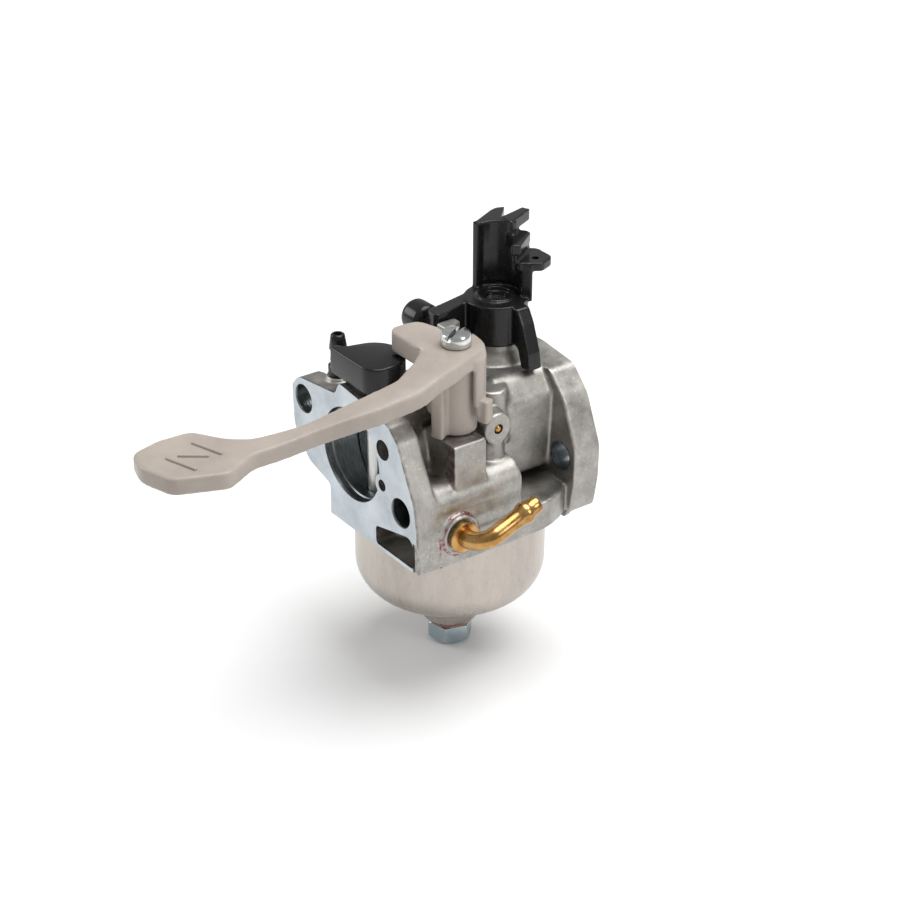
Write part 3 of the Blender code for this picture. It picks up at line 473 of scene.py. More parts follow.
def brass_metal():
    n = Nodes("brass_bright")
    n.set(Metallic=1.0)
    clouds = n.noise(230, 4, 0.6)
    dark, middle, light = (0.28, 0.14, 0.045), (0.48, 0.27, 0.09), (0.62, 0.40, 0.17)
    tone = n.ramp(clouds, [(0.28, dark), (0.5, middle), (0.75, light)])
    # painted shade: the brass is darker in its hollows
    n.colour(n.blend(n.maths("MULTIPLY", n.pointiness(0.48, 0.42), 0.5), tone, (0.25, 0.12, 0.04)))
    n.rough(n.spread(clouds, 0.16, 0.30, 0.3, 0.7))
    n.bump((n.noise(1300, 3, 0.6), 0.15, 0.02), (n.noise(150, 2, 0.5), 0.25, 0.10))
    return n.material


def moulded_plastic(name, base, rough, grain, edge, gloss):
    """Moulded plastic. edge is the colour of rubbed edges, gloss the strength of its reflections."""
    n = Nodes(name)
    n.set(IOR=1.5, Specular_IOR_Level=gloss)
    clouds = n.noise(90, 4, 0.6)
    low = tuple(0.88 * c for c in base)
    high = tuple(min(1.0, 1.08 * c) for c in base)
    tone = n.ramp(clouds, [(0.3, low), (0.7, high)])
    tone = n.blend(n.spread(n.noise(1700, 2, 0.5), 0.0, 0.25, 0.60, 0.75), tone, edge)
    n.colour(n.blend(n.maths("MULTIPLY", n.pointiness(0.54, 0.66), 0.25), tone, edge))
    n.rough(n.spread(n.noise(500, 3, 0.6), rough * 0.8, rough * 1.25, 0.3, 0.7))
    n.bump((n.noise(1100, 3, 0.6), grain, 0.03), (n.noise(120, 2, 0.5), 0.10, 0.10))
    return n.material


def plain_rubber():
    n = Nodes("black_rubber_matt")
    clouds = n.noise(300, 4, 0.6)
    n.colour(n.ramp(clouds, [(0.3, (0.018, 0.018, 0.018)), (0.7, (0.035, 0.035, 0.036))]))
    n.rough(n.spread(clouds, 0.65, 0.85, 0.3, 0.7))
    n.bump((n.noise(1500, 3, 0.6), 0.2, 0.03))
    return n.material


def pressed_fibre():
    n = Nodes("fibre_red")
    clouds = n.noise(800, 4, 0.7)
    n.colour(n.ramp(clouds, [(0.3, (0.24, 0.09, 0.05)), (0.7, (0.42, 0.20, 0.12))]))
    n.rough(n.spread(clouds, 0.7, 0.9, 0.3, 0.7))
    n.bump((clouds, 0.3, 0.05))
    return n.material


# ---------------------------------------------------------------- casting

FRONT_FLANGE = [
    (-22.2, 11.4, 2.2), (-25.0, 8.5, 2.2), (-24.6, -2.5, 5.0), (-18.5, -9.5, 5.0),
    (-9.4, -12.0, 0), (-9.4, -21.5, 0), (26.6, -21.5, 0), (26.0, -8.5, 3.0),
    (24.8, -2.0, 6.0), (18.6, 10.8, 3.0), (15.5, 13.6, 2.0), (4.5, 15.8, 2.0),
    (-4.4, 16.8, 0.8), (-6.3, 13.4, 0.8),
]  # fmt: skip
REAR_FLANGE = [
    (-20.5, 14.8, 3.0), (-25.6, 11.0, 3.0), (-25.6, -2.0, 6.0), (-17.0, -14.0, 4.0),
    (-14.0, -22.0, 2.0), (19.0, -22.6, 2.0), (24.0, -20.6, 3.0), (25.4, -12.0, 4.0), (25.6, -3.5, 6.0),
    (20.5, 8.5, 6.0), (15.0, 14.2, 3.0), (3.5, 15.6, 3.0),
]  # fmt: skip


def raw_casting():
    side = [(6, -22, 0), (27.0, -22, 0), (26.4, -10.0, 3.0), (23.6, -1.6, 2.4), (6, -1.6, 0)]
    block = [(-13, -11, 4), (15.6, -11.2, 2), (16.6, 9.0, 4), (12.6, 14.6, 4), (-13, 14.6, 4)]
    ledge = [(8, -8, 0), (24.6, -8, 0), (24.0, 8.1, 0.5), (8, 8.1, 0)]
    roof = [(-9.5, 6, 0), (9.5, 6, 0), (9.5, 13.0, 3), (-9.5, 13.0, 3)]
    bowl_flange = [(-24.7, 3.4, 22), (-24.7, 53.6, 20), (27.0, 53.6, 20), (27.0, 3.4, 6)]
    idle_stop = [(1.3, 23.6), (5.4, 23.6), (5.4, 26.2), (3.6, 28.8), (1.3, 28.8)]
    gusset = [(40.0, -22, 0), (48, -22, 0), (48, -13.5, 0), (44.5, -12.9, 3), (40.6, -17.0, 3)]
    casting = prism("casting", rounded(FRONT_FLANGE), "XZ", -1.5, 6.2)
    join(
        casting,
        prism("rear", rounded(REAR_FLANGE), "XZ", 46.6, 55.6),
        drum("barrel", 14.6, (0, 2, 0), (0, 49, 0), steps=96),
        prism("block", rounded(block), "XZ", 32.5, 48.0),
        prism("side", rounded(side), "XZ", 4.1, 30.2),
        drum("tunnel", 5.6, (20, 3.9, -6.4), (20, 30.9, -6.4)),
        prism("ledge", rounded(ledge), "XZ", 12.3, 21.3),
        prism("roof", rounded(roof), "XZ", 5.1, 44.2),
        drum("plug_boss", 4.2, (8, 27.1, 7.2), (21.0, 27.1, 7.2), end_radius=3.9),
        drum("plug_column", 3.7, (17.2, 27.1, -6), (17.2, 27.1, 7.2)),
        drum("cast_boss", 4.3, (13.2, 31, 0), (13.2, 31, 13.9), end_radius=3.6),
        drum("choke_boss", 5.8, (0, CHOKE_Y, 8), (0, CHOKE_Y, 16.8), end_radius=5.5),
        drum("throttle_boss", 6.9, (0, THROTTLE_Y, 8), (0, THROTTLE_Y, 19.6), end_radius=6.6),
        drum("throttle_foot", 11.6, (0, THROTTLE_Y, 11.4), (0, THROTTLE_Y, 17.4), end_radius=6.8),
        drum("pilot_boss", 4.1, (*PILOT, 8), (*PILOT, 17.9), end_radius=3.9),
        prism("idle_stop", idle_stop, "XY", 10, 27.9),
        drum("vent_boss", 3.3, (*VENT, 3), (*VENT, 13.9), end_radius=3.1),
        drum("mixture_boss", 3.9, (-19.0, 40, -6), (-8, 40, -6)),
        prism("bowl_flange", rounded(bowl_flange), "XY", -22.3, -13.0),
        prism("gusset", rounded(gusset), "YZ", 15.5, 22.8),
    )
    pocket = [(9.8, -19.1, 0), (25.0, -19.1, 0), (24.8, -10.8, 2.5), (21.0, -11.8, 0), (9.8, -14.4, 0)]
    cut(casting, prism("pocket", rounded(pocket), "XZ", -3.0, 9.0))
    join(
        casting,
        drum("chamber_wall", 24.95, (0, NOZZLE_Y, -22.5), (0, NOZZLE_Y, -14.1), steps=96),
        drum("inlet_boss", 5.1, (15, INLET_Y, INLET_Z), (27.3, INLET_Y, INLET_Z), end_radius=4.9),
    )
    return soften(casting, 0.40, 7)


def ribbed_hole(name, place, radius, depth):
    """Cutter for a stud hole with the fine ridges a drill leaves."""
    profile = [(0, -2.0), (radius + 0.25, -2.0), (radius + 0.25, 0.0), (radius, 0.3)]
    height = 0.6
    while height < depth:
        profile += [(radius, height), (radius + 0.08, height + 0.35), (radius, height + 0.7)]
        height += 0.8
    return lathe(name, [*profile, (radius, depth), (0, depth)], place, (0, 1, 0), 48)


def machining():
    """What is machined from the rough casting, as cutters."""
    passage = [
        (0, 58), (9.5, 58), (9.5, 36), (8.6, 33.6), (7.7, 32.2), (7.5, 31.2), (7.5, 26.2), (7.7, 25.0),
        (8.4, 22.8), (9.4, 20.9), (10.4, 19.6), (11.2, 19.0), (11.2, 2.3), (11.5, 2.0), (11.5, 0.3),
        (11.7, -0.1), (11.7, -4), (0, -4),
    ]  # fmt: skip
    holes = [
        (3.45, (20, 7, -6.4), (20, 60, -6.4)),
        (3.45, (-20, 5, 6.4), (-20, 60, 6.4)),
        (2.8, (0, CHOKE_Y, -14.2), (0, CHOKE_Y, 19)),
        (3.3, (0, THROTTLE_Y, -13.4), (0, THROTTLE_Y, 21)),
        (5.2, (0, THROTTLE_Y, 16.6), (0, THROTTLE_Y, 21)),
        (2.5, (13.1, -3, 6.9), (13.1, 10, 6.9)),
        (2.0, (*PILOT, 8.4), (*PILOT, 20)),
        (1.8, (*VENT, 6.7), (*VENT, 16)),
        (1.25, (12, 27.1, 7.2), (23, 27.1, 7.2)),
        (2.6, (19, INLET_Y, INLET_Z), (30, INLET_Y, INLET_Z)),
        (1.5, (5.5, INLET_Y, INLET_Z), (20, INLET_Y, INLET_Z)),
        (2.9, (5.5, 15.1, -17), (5.5, 15.1, -12.6)),
        (2.2, (-22, 40, -6), (-10.5, 40, -6)),
        (1.1, (-12, 40, -6), (-6, 40, -6)),
    ]
    return [
        box("front_face", (-40, -4, -40), (40, 0, 40)),
        box("front_strip", (24.6, -4, -40), (40, 0.4, -12.2)),
        box("rear_face", (-40, LENGTH, -40), (40, 60, 40)),
        box("bowl_face", (-40, -2, -30), (40, 46.5, -20)),
        box("ledge_face", (11, 12.0, 8.1), (30, 21.6, 10.5)),
        drum("lever_spot", 5.4, (*PIVOT, 8.1), (*PIVOT, 16)),
        drum("choke_spot", 8.0, (0, CHOKE_Y, 17.0), (0, CHOKE_Y, 20)),
        drum("throttle_spot", 9.0, (0, THROTTLE_Y, 19.0), (0, THROTTLE_Y, 22)),
        drum("pilot_spot", 5.0, (*PILOT, 17.5), (*PILOT, 20)),
        drum("vent_spot", 5.0, (*VENT, 13.7), (*VENT, 16)),
        drum("inlet_spot", 4.3, (27.0, INLET_Y, INLET_Z), (29, INLET_Y, INLET_Z)),
        drum("chamber", 24.0, (0, NOZZLE_Y, -30), (0, NOZZLE_Y, -15.5), steps=96),
        lathe("passage", passage, (0, 0, 0), (0, 1, 0), 96),
        ribbed_hole("stud_right", (20, 0, -6.4), 3.45, 8),
        ribbed_hole("stud_left", (-20, 0, 6.4), 3.45, 7),
        *(drum("hole", radius, start, end, steps=40) for radius, start, end in holes),
    ]


def face_kind(centre, normal):
    """0 for a rough face, 1 for a machined face, 2 for the inside of a bore."""
    x, y, z = centre
    if (y < 0.02 and normal.y < -0.9) or (y > LENGTH - 0.02 and normal.y > 0.9):
        return 1
    radial = math.hypot(x, z)
    if radial < 12.0 and abs(normal.y) < 0.8 and normal.x * x + normal.z * z < 0:
        return 2
    if min(math.hypot(x - 20, z + 6.4), math.hypot(x + 20, z - 6.4)) < 3.75:
        return 2
    if abs(z + 20) < 0.02 and normal.z < -0.9:
        return 1
    return 0


def carburetor_casting(materials):
    casting = raw_casting()
    cut(casting, *machining())
    posts = [
        box("post", (left, 9.6, -26.7), (left + 1.9, 13.0, -14)) for left in (0.7, 8.4)
    ]
    join(
        casting,
        drum("air_boss", 2.7, (12.6, 0, -2.5), (12.6, 2.6, -2.5), steps=48),
        lathe("post_top", [(0, 5), (3.1, 5), (3.1, 28.5), (2.7, 28.9), (0, 28.9)], (*PIVOT, 0), steps=40),
        drum("column", 5.0, (0, NOZZLE_Y, -53.6), (0, NOZZLE_Y, -12.5)),
        *posts,
    )
    cut(
        casting,
        drum("air_jet", 1.45, (12.6, -3, -2.5), (12.6, 14, -2.5), steps=32),
        drum("nozzle", 1.9, (0, NOZZLE_Y, -42), (0, NOZZLE_Y, -5), steps=32),
        drum("bolt_hole", 3.05, (0, NOZZLE_Y, -55), (0, NOZZLE_Y, -41.2), steps=32),
        drum("screw_hole", 1.8, (*PIVOT, 16), (*PIVOT, 30), steps=32),
        drum("pin_hole", 1.1, (-1, 11.3, -25), (12, 11.3, -25), steps=24),
    )
    mesh = casting.data
    for material in materials:
        mesh.materials.append(material)
    for polygon in mesh.polygons:
        polygon.material_index = face_kind(polygon.center, polygon.normal)
    place(casting, "casting", "cast_alloy", materials, ["carburetor_body"], 40)


# ---------------------------------------------------------------- bowl and fuel side


def float_bowl(metal):
    outer = [(23.5, -17.3), (23.5, -20.0), (23.5, -24.5), (23.5, -29.0)]
    for k in range(19):
        a = math.radians(72 * k / 18)
        outer.append((14.6 + 8.9 * math.cos(a), -36.0 - 8.9 * math.sin(a)))
    outer += [(13.6, -45.9), (11.2, -47.0), (9.9, -47.9), (9.0, -49.0), (8.4, -50.4)]
    outer += [(7.8, -52.2), (7.2, -53.6), (6.6, -54.4), (5.6, -54.8)]
    inner = []
    for i, (radius, z) in enumerate(outer):
        before, after = Vector(outer[max(i - 1, 0)]), Vector(outer[min(i + 1, len(outer) - 1)])
        along = (after - before).normalized()
        inner.append((radius + along.y * 0.8, z - along.x * 0.8))
    inner[0] = (22.7, -17.3)
    profile = [*outer, (3.2, -54.8), (3.2, -54.0), *inner[::-1]]
    bowl = lathe("float_bowl_shell", profile, (0, NOZZLE_Y, 0), steps=160)
    place(bowl, "casting", "drawn_steel", [metal], ["float_bowl"])


def bowl_bolt(metal, fibre):
    top, bottom = -56.1, -60.7
    hexagon = [around((0, NOZZLE_Y), 5.0 / math.cos(math.radians(30)), 60 * k + 12) for k in range(6)]
    bolt = prism("bowl_bolt_hex", hexagon, "XY", bottom, top)
    turned = [(0, -0.02), (4.7, -0.02), (5.9, 0.62), (5.9, 4.2), (5.3, 4.62), (0, 4.62)]
    combine(bolt, "INTERSECT", [lathe("turned_hexagon", turned, (0, NOZZLE_Y, bottom))])
    bevel(bolt, 0.12, 2)
    shank = [(0, 0), (2.3, 0), (2.75, -0.5), (2.75, -11), (0, -11)]
    dimple = [(0, 0.7), (2.2, 0.25), (2.4, -1), (0, -1)]
    join(bolt, lathe("shank", shank[::-1], (0, NOZZLE_Y, -46.6), steps=40))
    cut(bolt, lathe("dimple", dimple[::-1], (0, NOZZLE_Y, bottom), steps=40))
    place(bolt, "casting", "zinc_steel", [metal], ["bowl_bolt"], 30)
    ring = [(5.45, -55.1), (5.6, -55.25), (5.6, -55.65), (5.45, -55.8), (3.2, -55.8), (3.2, -55.1)]
    washer = lathe("bowl_washer_ring", ring, (0, NOZZLE_Y, 0), steps=64)
    place(washer, "casting", "fibre", [fibre], ["bowl_washer"])


def fuel_elbow(brass):
    rise = math.radians(20)
    along = Vector((0, math.cos(rise), math.sin(rise)))
    corner = Vector((34.0, INLET_Y, INLET_Z))
    centre = corner + Vector((-5.0, 0, 0)) + along * 5.0
    stem = [
        (20.0, 2.2), (24.0, 2.25), (27.3, 2.3), (27.35, 3.75), (28.5, 3.9), (28.8, 3.6), (28.85, 2.25),
    ]  # fmt: skip
    path = [Vector((x, INLET_Y, INLET_Z)) for x, _ in stem]
    radii = [radius for _, radius in stem]
    for k in range(1, 17):
        a = math.radians(90 * k / 16)
        path.append(centre - along * 5.0 * math.cos(a) + Vector((5.0 * math.sin(a), 0, 0)))
        radii.append(2.25 - 0.12 * math.sin(2 * a))
    barb = [
        (9, 2.2), (11.6, 2.2), (12.2, 2.3), (13.0, 2.62), (13.6, 2.72), (14.2, 2.70), (14.8, 2.45),
        (15.2, 2.2), (16.4, 2.15), (17.3, 2.1), (17.6, 1.95),
    ]  # fmt: skip
    for run, radius in barb:
        path.append(corner + along * run)
        radii.append(radius)
    elbow = sweep("fuel_elbow_tube", path, radii, 40)
    inside = [Vector((19, INLET_Y, INLET_Z)), *path[1:-1], corner + along * 18.5]
    cut(elbow, sweep("bore", inside, [1.5] * (len(inside) - 2) + [1.5, 1.75], 32))
    place(elbow, "casting", "brass", [brass], ["fuel_inlet_elbow"])


# ---------------------------------------------------------------- choke


def lever_height(y):
    """Height of the choke lever's top, which bends down towards the thumb pad."""
    start, end, drop, top = 8.0, -38.0, 7.4, 29.2
    share = min(1.0, max(0.0, (start - y) / (start - end)))
    return top - drop * (0.9 * share * share * (3 - 2 * share) + 0.1 * share)


def choke_symbol():
    """Generic raised choke symbol for the thumb pad: a plate turned between two parallel walls."""
    bars = [((9.2, -46.2), (17.4, -43.6)), ((12.0, -54.0), (20.2, -51.4)), ((12.6, -51.6), (16.6, -46.2))]
    solids = []
    for i, (a, b) in enumerate(bars):
        a, b = Vector(a), Vector(b)
        along = (b - a).normalized()
        across = Vector((-along.y, along.x)) * 0.45
        outline = [a + across, a - across, b - across, b + across]
        solid = prism(f"bar_{i}", outline, "XY", 20.6, 22.35)
        solids.append(bevel(solid, 0.3, 3))
    return solids


def choke_lever(plastic):
    outline = rounded(
        [
            (0.7, 10.6, 2.4), (13.3, 10.4, 1.0), (17.0, 6.0, 4), (21.2, -1.6, 5), (20.2, -11, 8),
            (18.4, -24, 10), (14.6, -35.2, 6), (10.8, -39.3, 3), (4.0, -43.6, 3.0), (3.5, -51.5, 5),
            (5.4, -58.7, 3.0), (12.0, -60.4, 5), (20.6, -57.8, 3.5), (25.3, -46.4, 3.5), (20.9, -37.9, 5),
            (23.0, -24, 10), (27.4, -9.5, 12), (28.6, 0.5, 12), (25.0, 12.5, 12), (20.2, 24.6, 5.5),
            (12.0, 26.2, 4.5), (7.6, 20.6, 3), (0.9, 18.4, 3.2),
        ]
    )  # fmt: skip
    top = 29.2
    lever = prism("choke_lever_arm", outline, "XY", 25.1, top)
    soften(lever, 0.45, 1)
    edge_x, pad_end, droop = 23.0, -36, 0.035
    for vert in lever.data.vertices:
        vert.co.z += lever_height(vert.co.y) - top
        if vert.co.y > pad_end:
            vert.co.z -= droop * max(0.0, vert.co.x - edge_x) ** 2
    finger = rounded(
        [(0.5, 10.4, 2.4), (13.6, 10.2, 0.4), (9.0, 19.6, 0.4), (7.4, 20.6, 3), (0.7, 18.6, 3.2)]
    )
    join(
        lever,
        prism("finger_top", finger, "XY", 24.5, 29.7),
        prism("skirt", sector(PIVOT, 5.6, 6.9, 10, 300), "XY", 13.4, 27.5),
        prism("skirt_low", sector(PIVOT, 5.7, 7.0, 4, 30), "XY", 16.0, 27.5),
        prism("left_tab", sector(PIVOT, 5.4, 7.8, 276, 301), "XY", 8.4, 27.0),
        prism("right_tab", sector(PIVOT, 6.0, 9.0, 14, 36), "XY", 11.6, 17.4),
        drum("barrel", 4.9, (*PIVOT, 8.4), (*PIVOT, 27.5)),
        prism("web", sector(PIVOT, 4.0, 6.3, 80, 240), "XY", 13.6, 27.5),
        drum("pad", 4.6, (*PIVOT, 27), (*PIVOT, 29.35)),
    )
    soften(lever, 0.33, 12)
    slot = rounded([(-20, -1.9, 0), (-11.6, -1.9, 1.8), (-11.6, 1.9, 1.8), (-20, 1.9, 0)])
    groove = prism("groove", [(x + PIVOT[0], y + PIVOT[1]) for x, y in slot], "XY", 24.0, 27.4)
    pin = around((0, CHOKE_Y), 6.0, 72.5)
    turn_about(groove, (*PIVOT, 0), math.degrees(math.atan2(PIVOT[1] - pin[1], PIVOT[0] - pin[0])))
    cut(
        lever,
        groove,
        drum("bore", 3.4, (*PIVOT, 5), (*PIVOT, 32), steps=56),
        drum("barrel_end", 6.5, (*PIVOT, 5), (*PIVOT, 8.4)),
    )
    join(lever, *choke_symbol())
    place(lever, "choke_lever", "grey_plastic", [plastic], ["choke_lever"], 50)


def slotted_head(name, profile, base, slot_angle, slot, axis=(0, 0, 1), steps=64):
    """A turned screw with a straight slot. slot is (half width, half length, bottom, top)."""
    screw = lathe(name, profile, base, axis, steps)
    half, reach, low, high = slot
    turn = Vector(axis).to_track_quat("Z", "Y").to_matrix().to_4x4()
    cutter = box("slot", (-reach, -half, low), (reach, half, high))
    spin = Matrix.Rotation(math.radians(slot_angle), 4, "Z")
    cutter.data.transform(Matrix.Translation(base) @ turn @ spin)
    cut(screw, cutter)
    return bevel(screw, 0.09, 2, 50)


def choke_pieces(black, zinc):
    corner = rounded([(-9.6, 0.9, 0.8), (7.9, 0.9, 4.2), (8.0, 9.4, 0), (-9.6, 9.4, 0)])
    front = [p for p in corner if p[1] < 5.0]
    arc = [around((0.6, 6.4), 7.4, a) for a in range(10, 172, 6)]
    back = [(-7.1, 6.2), (-7.4, 4.8), (-8.1, 3.7), (-9.5, 3.1)]
    cap = prism("choke_cap_shell", [*front, *arc, *back], "XY", 17.3, 24.0)
    bevel(cap, 0.45, 3, 50)
    pin = around((0, CHOKE_Y), 6.0, 72.5)
    cut(
        cap,
        drum("pocket", 2.8, (0, CHOKE_Y, 16), (0, CHOKE_Y, 20.0)),
        drum("mark", 0.5, (3.9, 10.6, 23.3), (3.9, 10.6, 25), steps=24),
    )
    join(cap, lathe("pin", [(0, 20), (1.1, 20), (1.1, 26.7), (0.8, 27.0), (0, 27.0)], (*pin, 0), steps=32))
    place(cap, "choke_valve", "black_plastic", [black], ["choke_cap"], 40)
    head = [
        (0, 3.5), (2.2, 3.42), (3.2, 3.15), (3.55, 2.6), (3.55, 0.35), (3.3, 0.05),
        (1.5, 0), (1.5, -9), (0, -9),
    ]  # fmt: skip
    screw = slotted_head("choke_lever_screw_head", head, (*PIVOT, 29.3), 118, (0.6, 5, 2.0, 5))
    place(screw, "casting", "zinc_steel", [zinc], ["choke_lever_screw"], 40)


def vent_nipple(black):
    profile = [
        (1.0, 24.3), (1.5, 24.25), (1.7, 24.0), (2.2, 20.7), (2.1, 20.5), (1.5, 20.4), (1.5, 20.1),
        (2.0, 17.7), (1.9, 17.5), (1.4, 17.4), (1.4, 16.9), (2.4, 16.4), (2.5, 16.2), (2.5, 14.0),
        (1.5, 14.0), (1.5, 7.7), (0.7, 7.7), (0.7, 23.2), (1.0, 23.4),
    ]  # fmt: skip
    nipple = lathe("vent_nipple_barbs", profile, (*VENT, 0), steps=40)
    place(nipple, "casting", "black_plastic", [black], ["vent_nipple"], 50)


# ---------------------------------------------------------------- throttle


def throttle_lever(black):
    axis = (0, THROTTLE_Y)
    lever = drum("throttle_lever_mast", 7.7, (*axis, 19.3), (*axis, 29.5), steps=96)
    link = rounded(
        [
            (0.6, 47.2, 0.5), (4.0, 45.4, 0.5), (7.4, 50.0, 1.6),
            (5.6, 54.6, 2.4), (-1.0, 54.9, 2.2), (-2.8, 51.4, 1.2),
        ]
    )  # fmt: skip
    hook_low = [(3.4, 43.6), (4.6, 45.6), (-0.6, 52.6), (-2.0, 52.6), (-4.2, 50.8), (-4.2, 47.4), (0.4, 46.6)]
    hook_high = [(-2.2, 47.4), (-2.4, 49.4), (-5.6, 56.2), (-7.6, 55.4), (-5.8, 48.0)]
    wing = [
        (-7.4, 41.2), (-6.0, 42.6), (-5.2, 45.6), (-5.6, 47.6), (-10.8, 52.6), (-11.6, 50.6), (-11.2, 48.8),
    ]  # fmt: skip
    rib = [(2.6, 44.6), (3.6, 45.2), (-1.2, 53.0), (-2.2, 52.2)]
    arm = rounded([(-6.3, 38.6, 1), (-4.1, 28.0, 3), (-3.6, 24.3, 1.2), (0.6, 24.0, 1.2), (0.6, 27.4, 2),
                   (-1.6, 34.4, 2), (1.6, 36.6, 0)])  # fmt: skip
    stop = rounded([(4.0, 29.3, 0), (9.4, 29.4, 1.2), (11.4, 26.0, 2), (13.9, 19.4, 3), (14.5, 15.1, 0.5),
                    (11.3, 15.1, 0.5), (10.0, 19.6, 2), (7.0, 20.6, 0), (4.0, 20.6, 0)])  # fmt: skip
    join(
        lever,
        prism("mast", sector(axis, 6.0, 7.7, 104, 190), "XY", 28.5, 46.0),
        prism("mast_mid", sector(axis, 6.0, 7.7, 82, 106), "XY", 28.5, 42.6),
        prism("mast_low", sector(axis, 6.0, 7.8, 43, 84), "XY", 28.5, 38.0),
        prism("leg", sector(axis, 6.0, 8.6, 42, 52), "XY", 28.5, 37.4),
        prism("link", link, "XY", 36.0, 38.2),
        prism("hook_low", hook_low, "XY", 40.3, 42.8),
        prism("hook_high", hook_high, "XY", 43.3, 46.2),
        prism("wing", wing, "XY", 29.0, 46.0),
        prism("rib", rib, "XY", 37.6, 40.8),
        prism("idle_arm", arm, "XY", 21.4, 29.2),
        prism("stop_arm", stop, "XZ", 40.9, 44.7),
        drum("rim", 4.6, (*axis, 29.0), (*axis, 30.1)),
    )
    cut(lever, drum("dish", 3.7, (*axis, 28.9), (*axis, 32)))
    soften(lever, 0.27, 4)
    cut(
        lever,
        drum("bore", 2.8, (*axis, 17), (*axis, 31), steps=56),
        drum("link_hole", 0.9, (3.9, 50.6, 34), (3.9, 50.6, 40), steps=32),
        drum("screw_hole", 1.9, (-8, 26, 25), (4, 26, 25), steps=40),
    )
    place(lever, "throttle", "black_plastic", [black], ["throttle_lever"], 50)


def idle_knob(black):
    profile = [
        (0, 0), (3.0, 0), (3.6, -0.3), (3.95, -0.9), (4.0, -1.6), (4.0, -5.2), (3.85, -6.0),
        (3.4, -6.5), (1.9, -6.6), (1.6, -6.8), (1.6, -11.7), (1.2, -12.4), (0, -12.4),
    ]  # fmt: skip
    knob = slotted_head("idle_speed_knob", profile, (-11.4, 26.0, 25.0), 90, (0.6, 2.8, -1.4, 2), (-1, 0, 0))
    place(knob, "idle_speed_screw", "black_plastic", [black], ["idle_speed_screw"], 45)


def pilot_jet_cover(black):
    profile = [
        (0, 20.4), (2.3, 20.4), (2.75, 20.2), (3.05, 19.8), (3.1, 19.0),
        (3.7, 18.8), (3.9, 18.6), (3.9, 17.8), (0, 17.8),
    ]  # fmt: skip
    cap = lathe("pilot_jet_cover", profile, (*PILOT, 0))
    cut(
        cap,
        box("cross_a", (-8.2, 26.6, 19.7), (-3.8, 27.4, 21)),
        box("cross_b", (-6.4, 24.8, 19.7), (-5.6, 29.2, 21)),
    )
    place(bevel(cap, 0.08, 2, 50), "casting", "black_plastic", [black], ["pilot_jet_cap"], 40)


def plug_ball(brass):
    radius, steps = 1.05, 16
    angles = [math.pi * k / steps for k in range(steps + 1)]
    profile = [(radius * math.sin(a), radius * math.cos(a)) for a in angles]
    ball = lathe("passage_plug_ball", profile, (20.2, 27.1, 7.2), steps=32)
    place(ball, "casting", "brass", [brass], ["passage_plug"], 80)


def mixture_fittings(black, zinc):
    limiter = lathe(
        "mixture_limiter",
        [(0, 1.7), (2.9, 1.7), (3.35, 1.5), (3.5, 1.1), (3.5, -1.4), (3.0, -1.4), (3.0, 0.3), (0, 0.3)],
        (-24.6, 40, -6),
        (-1, 0, 0),
    )
    join(limiter, bevel(box("ear", (-26.2, 39.1, -2.8), (-23.4, 40.9, -1.0)), 0.2))
    place(limiter, "mixture_screw", "black_plastic", [black], ["mixture_limiter_cap"], 40)
    left, right, coil_radius, wire_radius = -22.4, -19.58, 1.9, 0.28
    coil, turns, per_turn = [], 4.5, 20
    for k in range(int(turns * per_turn) + 1):
        a = 2 * math.pi * k / per_turn
        x = left + (right - left) * k / (turns * per_turn)
        coil.append((x, 40 + coil_radius * math.cos(a), -6 + coil_radius * math.sin(a)))
    spring = sweep("mixture_spring_coil", coil, [wire_radius] * len(coil), 10)
    place(spring, "casting", "zinc_steel", [zinc], ["mixture_spring"], 80)


# ---------------------------------------------------------------- studio


def studio():
    slab = [(0, -8), (1600, -8), (1600, 0), (0, 0)]
    floor = lathe("studio_floor", slab, (0, 0, FLOOR_Z - 0.3), steps=96)
    floor.data.transform(TO_ROW)
    n = Nodes("studio_floor_white")
    clouds = n.noise(8, 3, 0.5)
    n.colour(n.ramp(clouds, [(0.3, (0.86, 0.86, 0.86)), (0.7, (0.90, 0.90, 0.90))]))
    n.rough(n.spread(clouds, 0.45, 0.55, 0.3, 0.7))
    floor.data.materials.append(n.material)
    bpy.context.scene.view_settings.view_transform = "Standard"
    world = bpy.data.worlds.new("studio_world")
    bpy.context.scene.world = world
    world.use_nodes = True
    world.node_tree.nodes["Background"].inputs["Color"].default_value = (1.0, 1.0, 1.0, 1.0)
    world.node_tree.nodes["Background"].inputs["Strength"].default_value = 0.42
    target = Vector((0.004, -0.03, -0.005))
    lamps = [
        ("top", (0.18, 0.40, 1.60), 30.0, 1.55),
        ("left", (-0.65, -0.55, 0.35), 2.4, 0.50),
        ("right", (0.75, 0.25, 0.40), 1.6, 0.35),
    ]
    for name, spot, energy, size in lamps:
        lamp = bpy.data.lights.new(f"studio_{name}", "AREA")
        lamp.energy = energy
        lamp.shape = "DISK"
        lamp.size = size
        obj = bpy.data.objects.new(f"studio_{name}", lamp)
        obj.location = spot
        obj.rotation_euler = (Vector(spot) - target).to_track_quat("Z", "Y").to_euler()
        bpy.context.scene.collection.objects.link(obj)


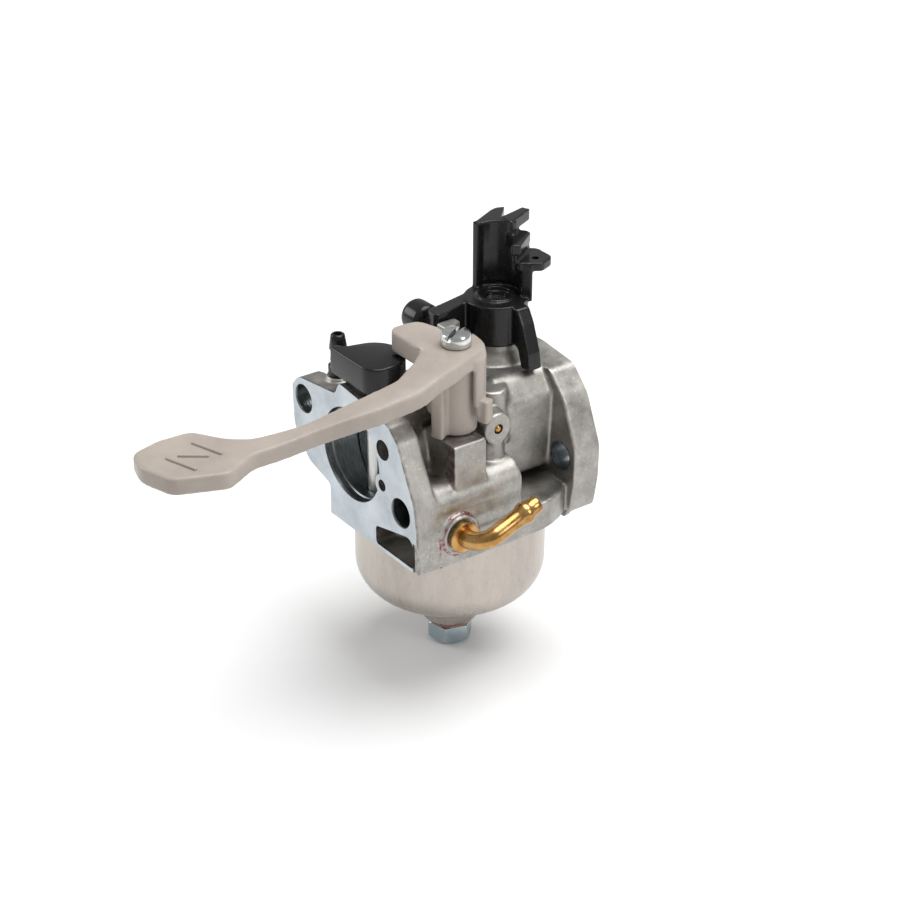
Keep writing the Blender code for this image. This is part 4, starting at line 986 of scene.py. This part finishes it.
def camera():
    azimuth, elevation = math.radians(53.795), math.radians(28.537)
    right = Vector((math.cos(azimuth), math.sin(azimuth), 0))
    level = math.cos(elevation)
    back = Vector((math.sin(azimuth) * level, -math.cos(azimuth) * level, math.sin(elevation)))
    turn = Matrix((right, back.cross(right), back)).transposed().to_4x4()
    lens = bpy.data.cameras.new("studio_camera")
    lens.lens, lens.sensor_width, lens.clip_start = 81.1, 36.0, 0.01
    obj = bpy.data.objects.new("studio_camera", lens)
    obj.matrix_world = Matrix.Translation((0.34783, -0.28008, 0.22648)) @ turn
    bpy.context.scene.collection.objects.link(obj)
    bpy.context.scene.camera = obj


def main():
    camera()
    cast, machined, bored = cast_metal(), machined_metal(), bore_metal()
    zinc = plated_steel("zinc_steel_blue", (0.42, 0.52, 0.58), 0.24)
    bright = plated_steel("zinc_steel_bright", (0.66, 0.69, 0.68), 0.20)
    # painted shade: a darker copy of the plated steel, for the choke shaft that sits inside the bore
    turned = plated_steel("zinc_steel_painted_shade", (0.26, 0.26, 0.25), 0.34)
    brass = brass_metal()
    ink, rubbed_ink = (0.009, 0.009, 0.0095), (0.05, 0.05, 0.05)
    putty, rubbed_putty = (0.375, 0.325, 0.285), (0.50, 0.45, 0.40)
    black = moulded_plastic("black_plastic_gloss", ink, 0.22, 0.05, rubbed_ink, 0.35)
    grey = moulded_plastic("grey_plastic_satin", putty, 0.40, 0.08, rubbed_putty, 0.5)
    rubber, fibre = plain_rubber(), pressed_fibre()
    carburetor_casting([cast, machined, bored])
    float_bowl(bowl_metal())
    bowl_bolt(zinc, fibre)
    fuel_elbow(brass)
    choke_lever(grey)
    choke_pieces(black, bright)
    vent_nipple(black)
    throttle_lever(black)
    idle_knob(black)
    pilot_jet_cover(black)
    plug_ball(brass)
    mixture_fittings(black, bright)
    by_slot = {"zinc_steel": bright, "brass": brass, "black_plastic": black}
    by_slot.update({"black_rubber": rubber, "fibre": fibre})
    dress_cad_nodes(by_slot, turned)
    studio()


def dress_cad_nodes(by_slot, turned):
    """Gives the CAD nodes that no piece replaces, such as the plates, shafts and float, their looks."""
    slots = {s["node"]: s["material_slot"] for s in frame["record"]["subparts"]}
    for name, node in frame["nodes"].items():
        if slots[name] in by_slot and not node.hide_render:
            node.data.materials.clear()
            # the choke shaft takes the darker steel copy as painted shade inside the bore
            node.data.materials.append(turned if name == "choke_shaft" else by_slot[slots[name]])
            node.data.shade_smooth()
            node.data.set_sharp_from_angle(angle=math.radians(35))


main()
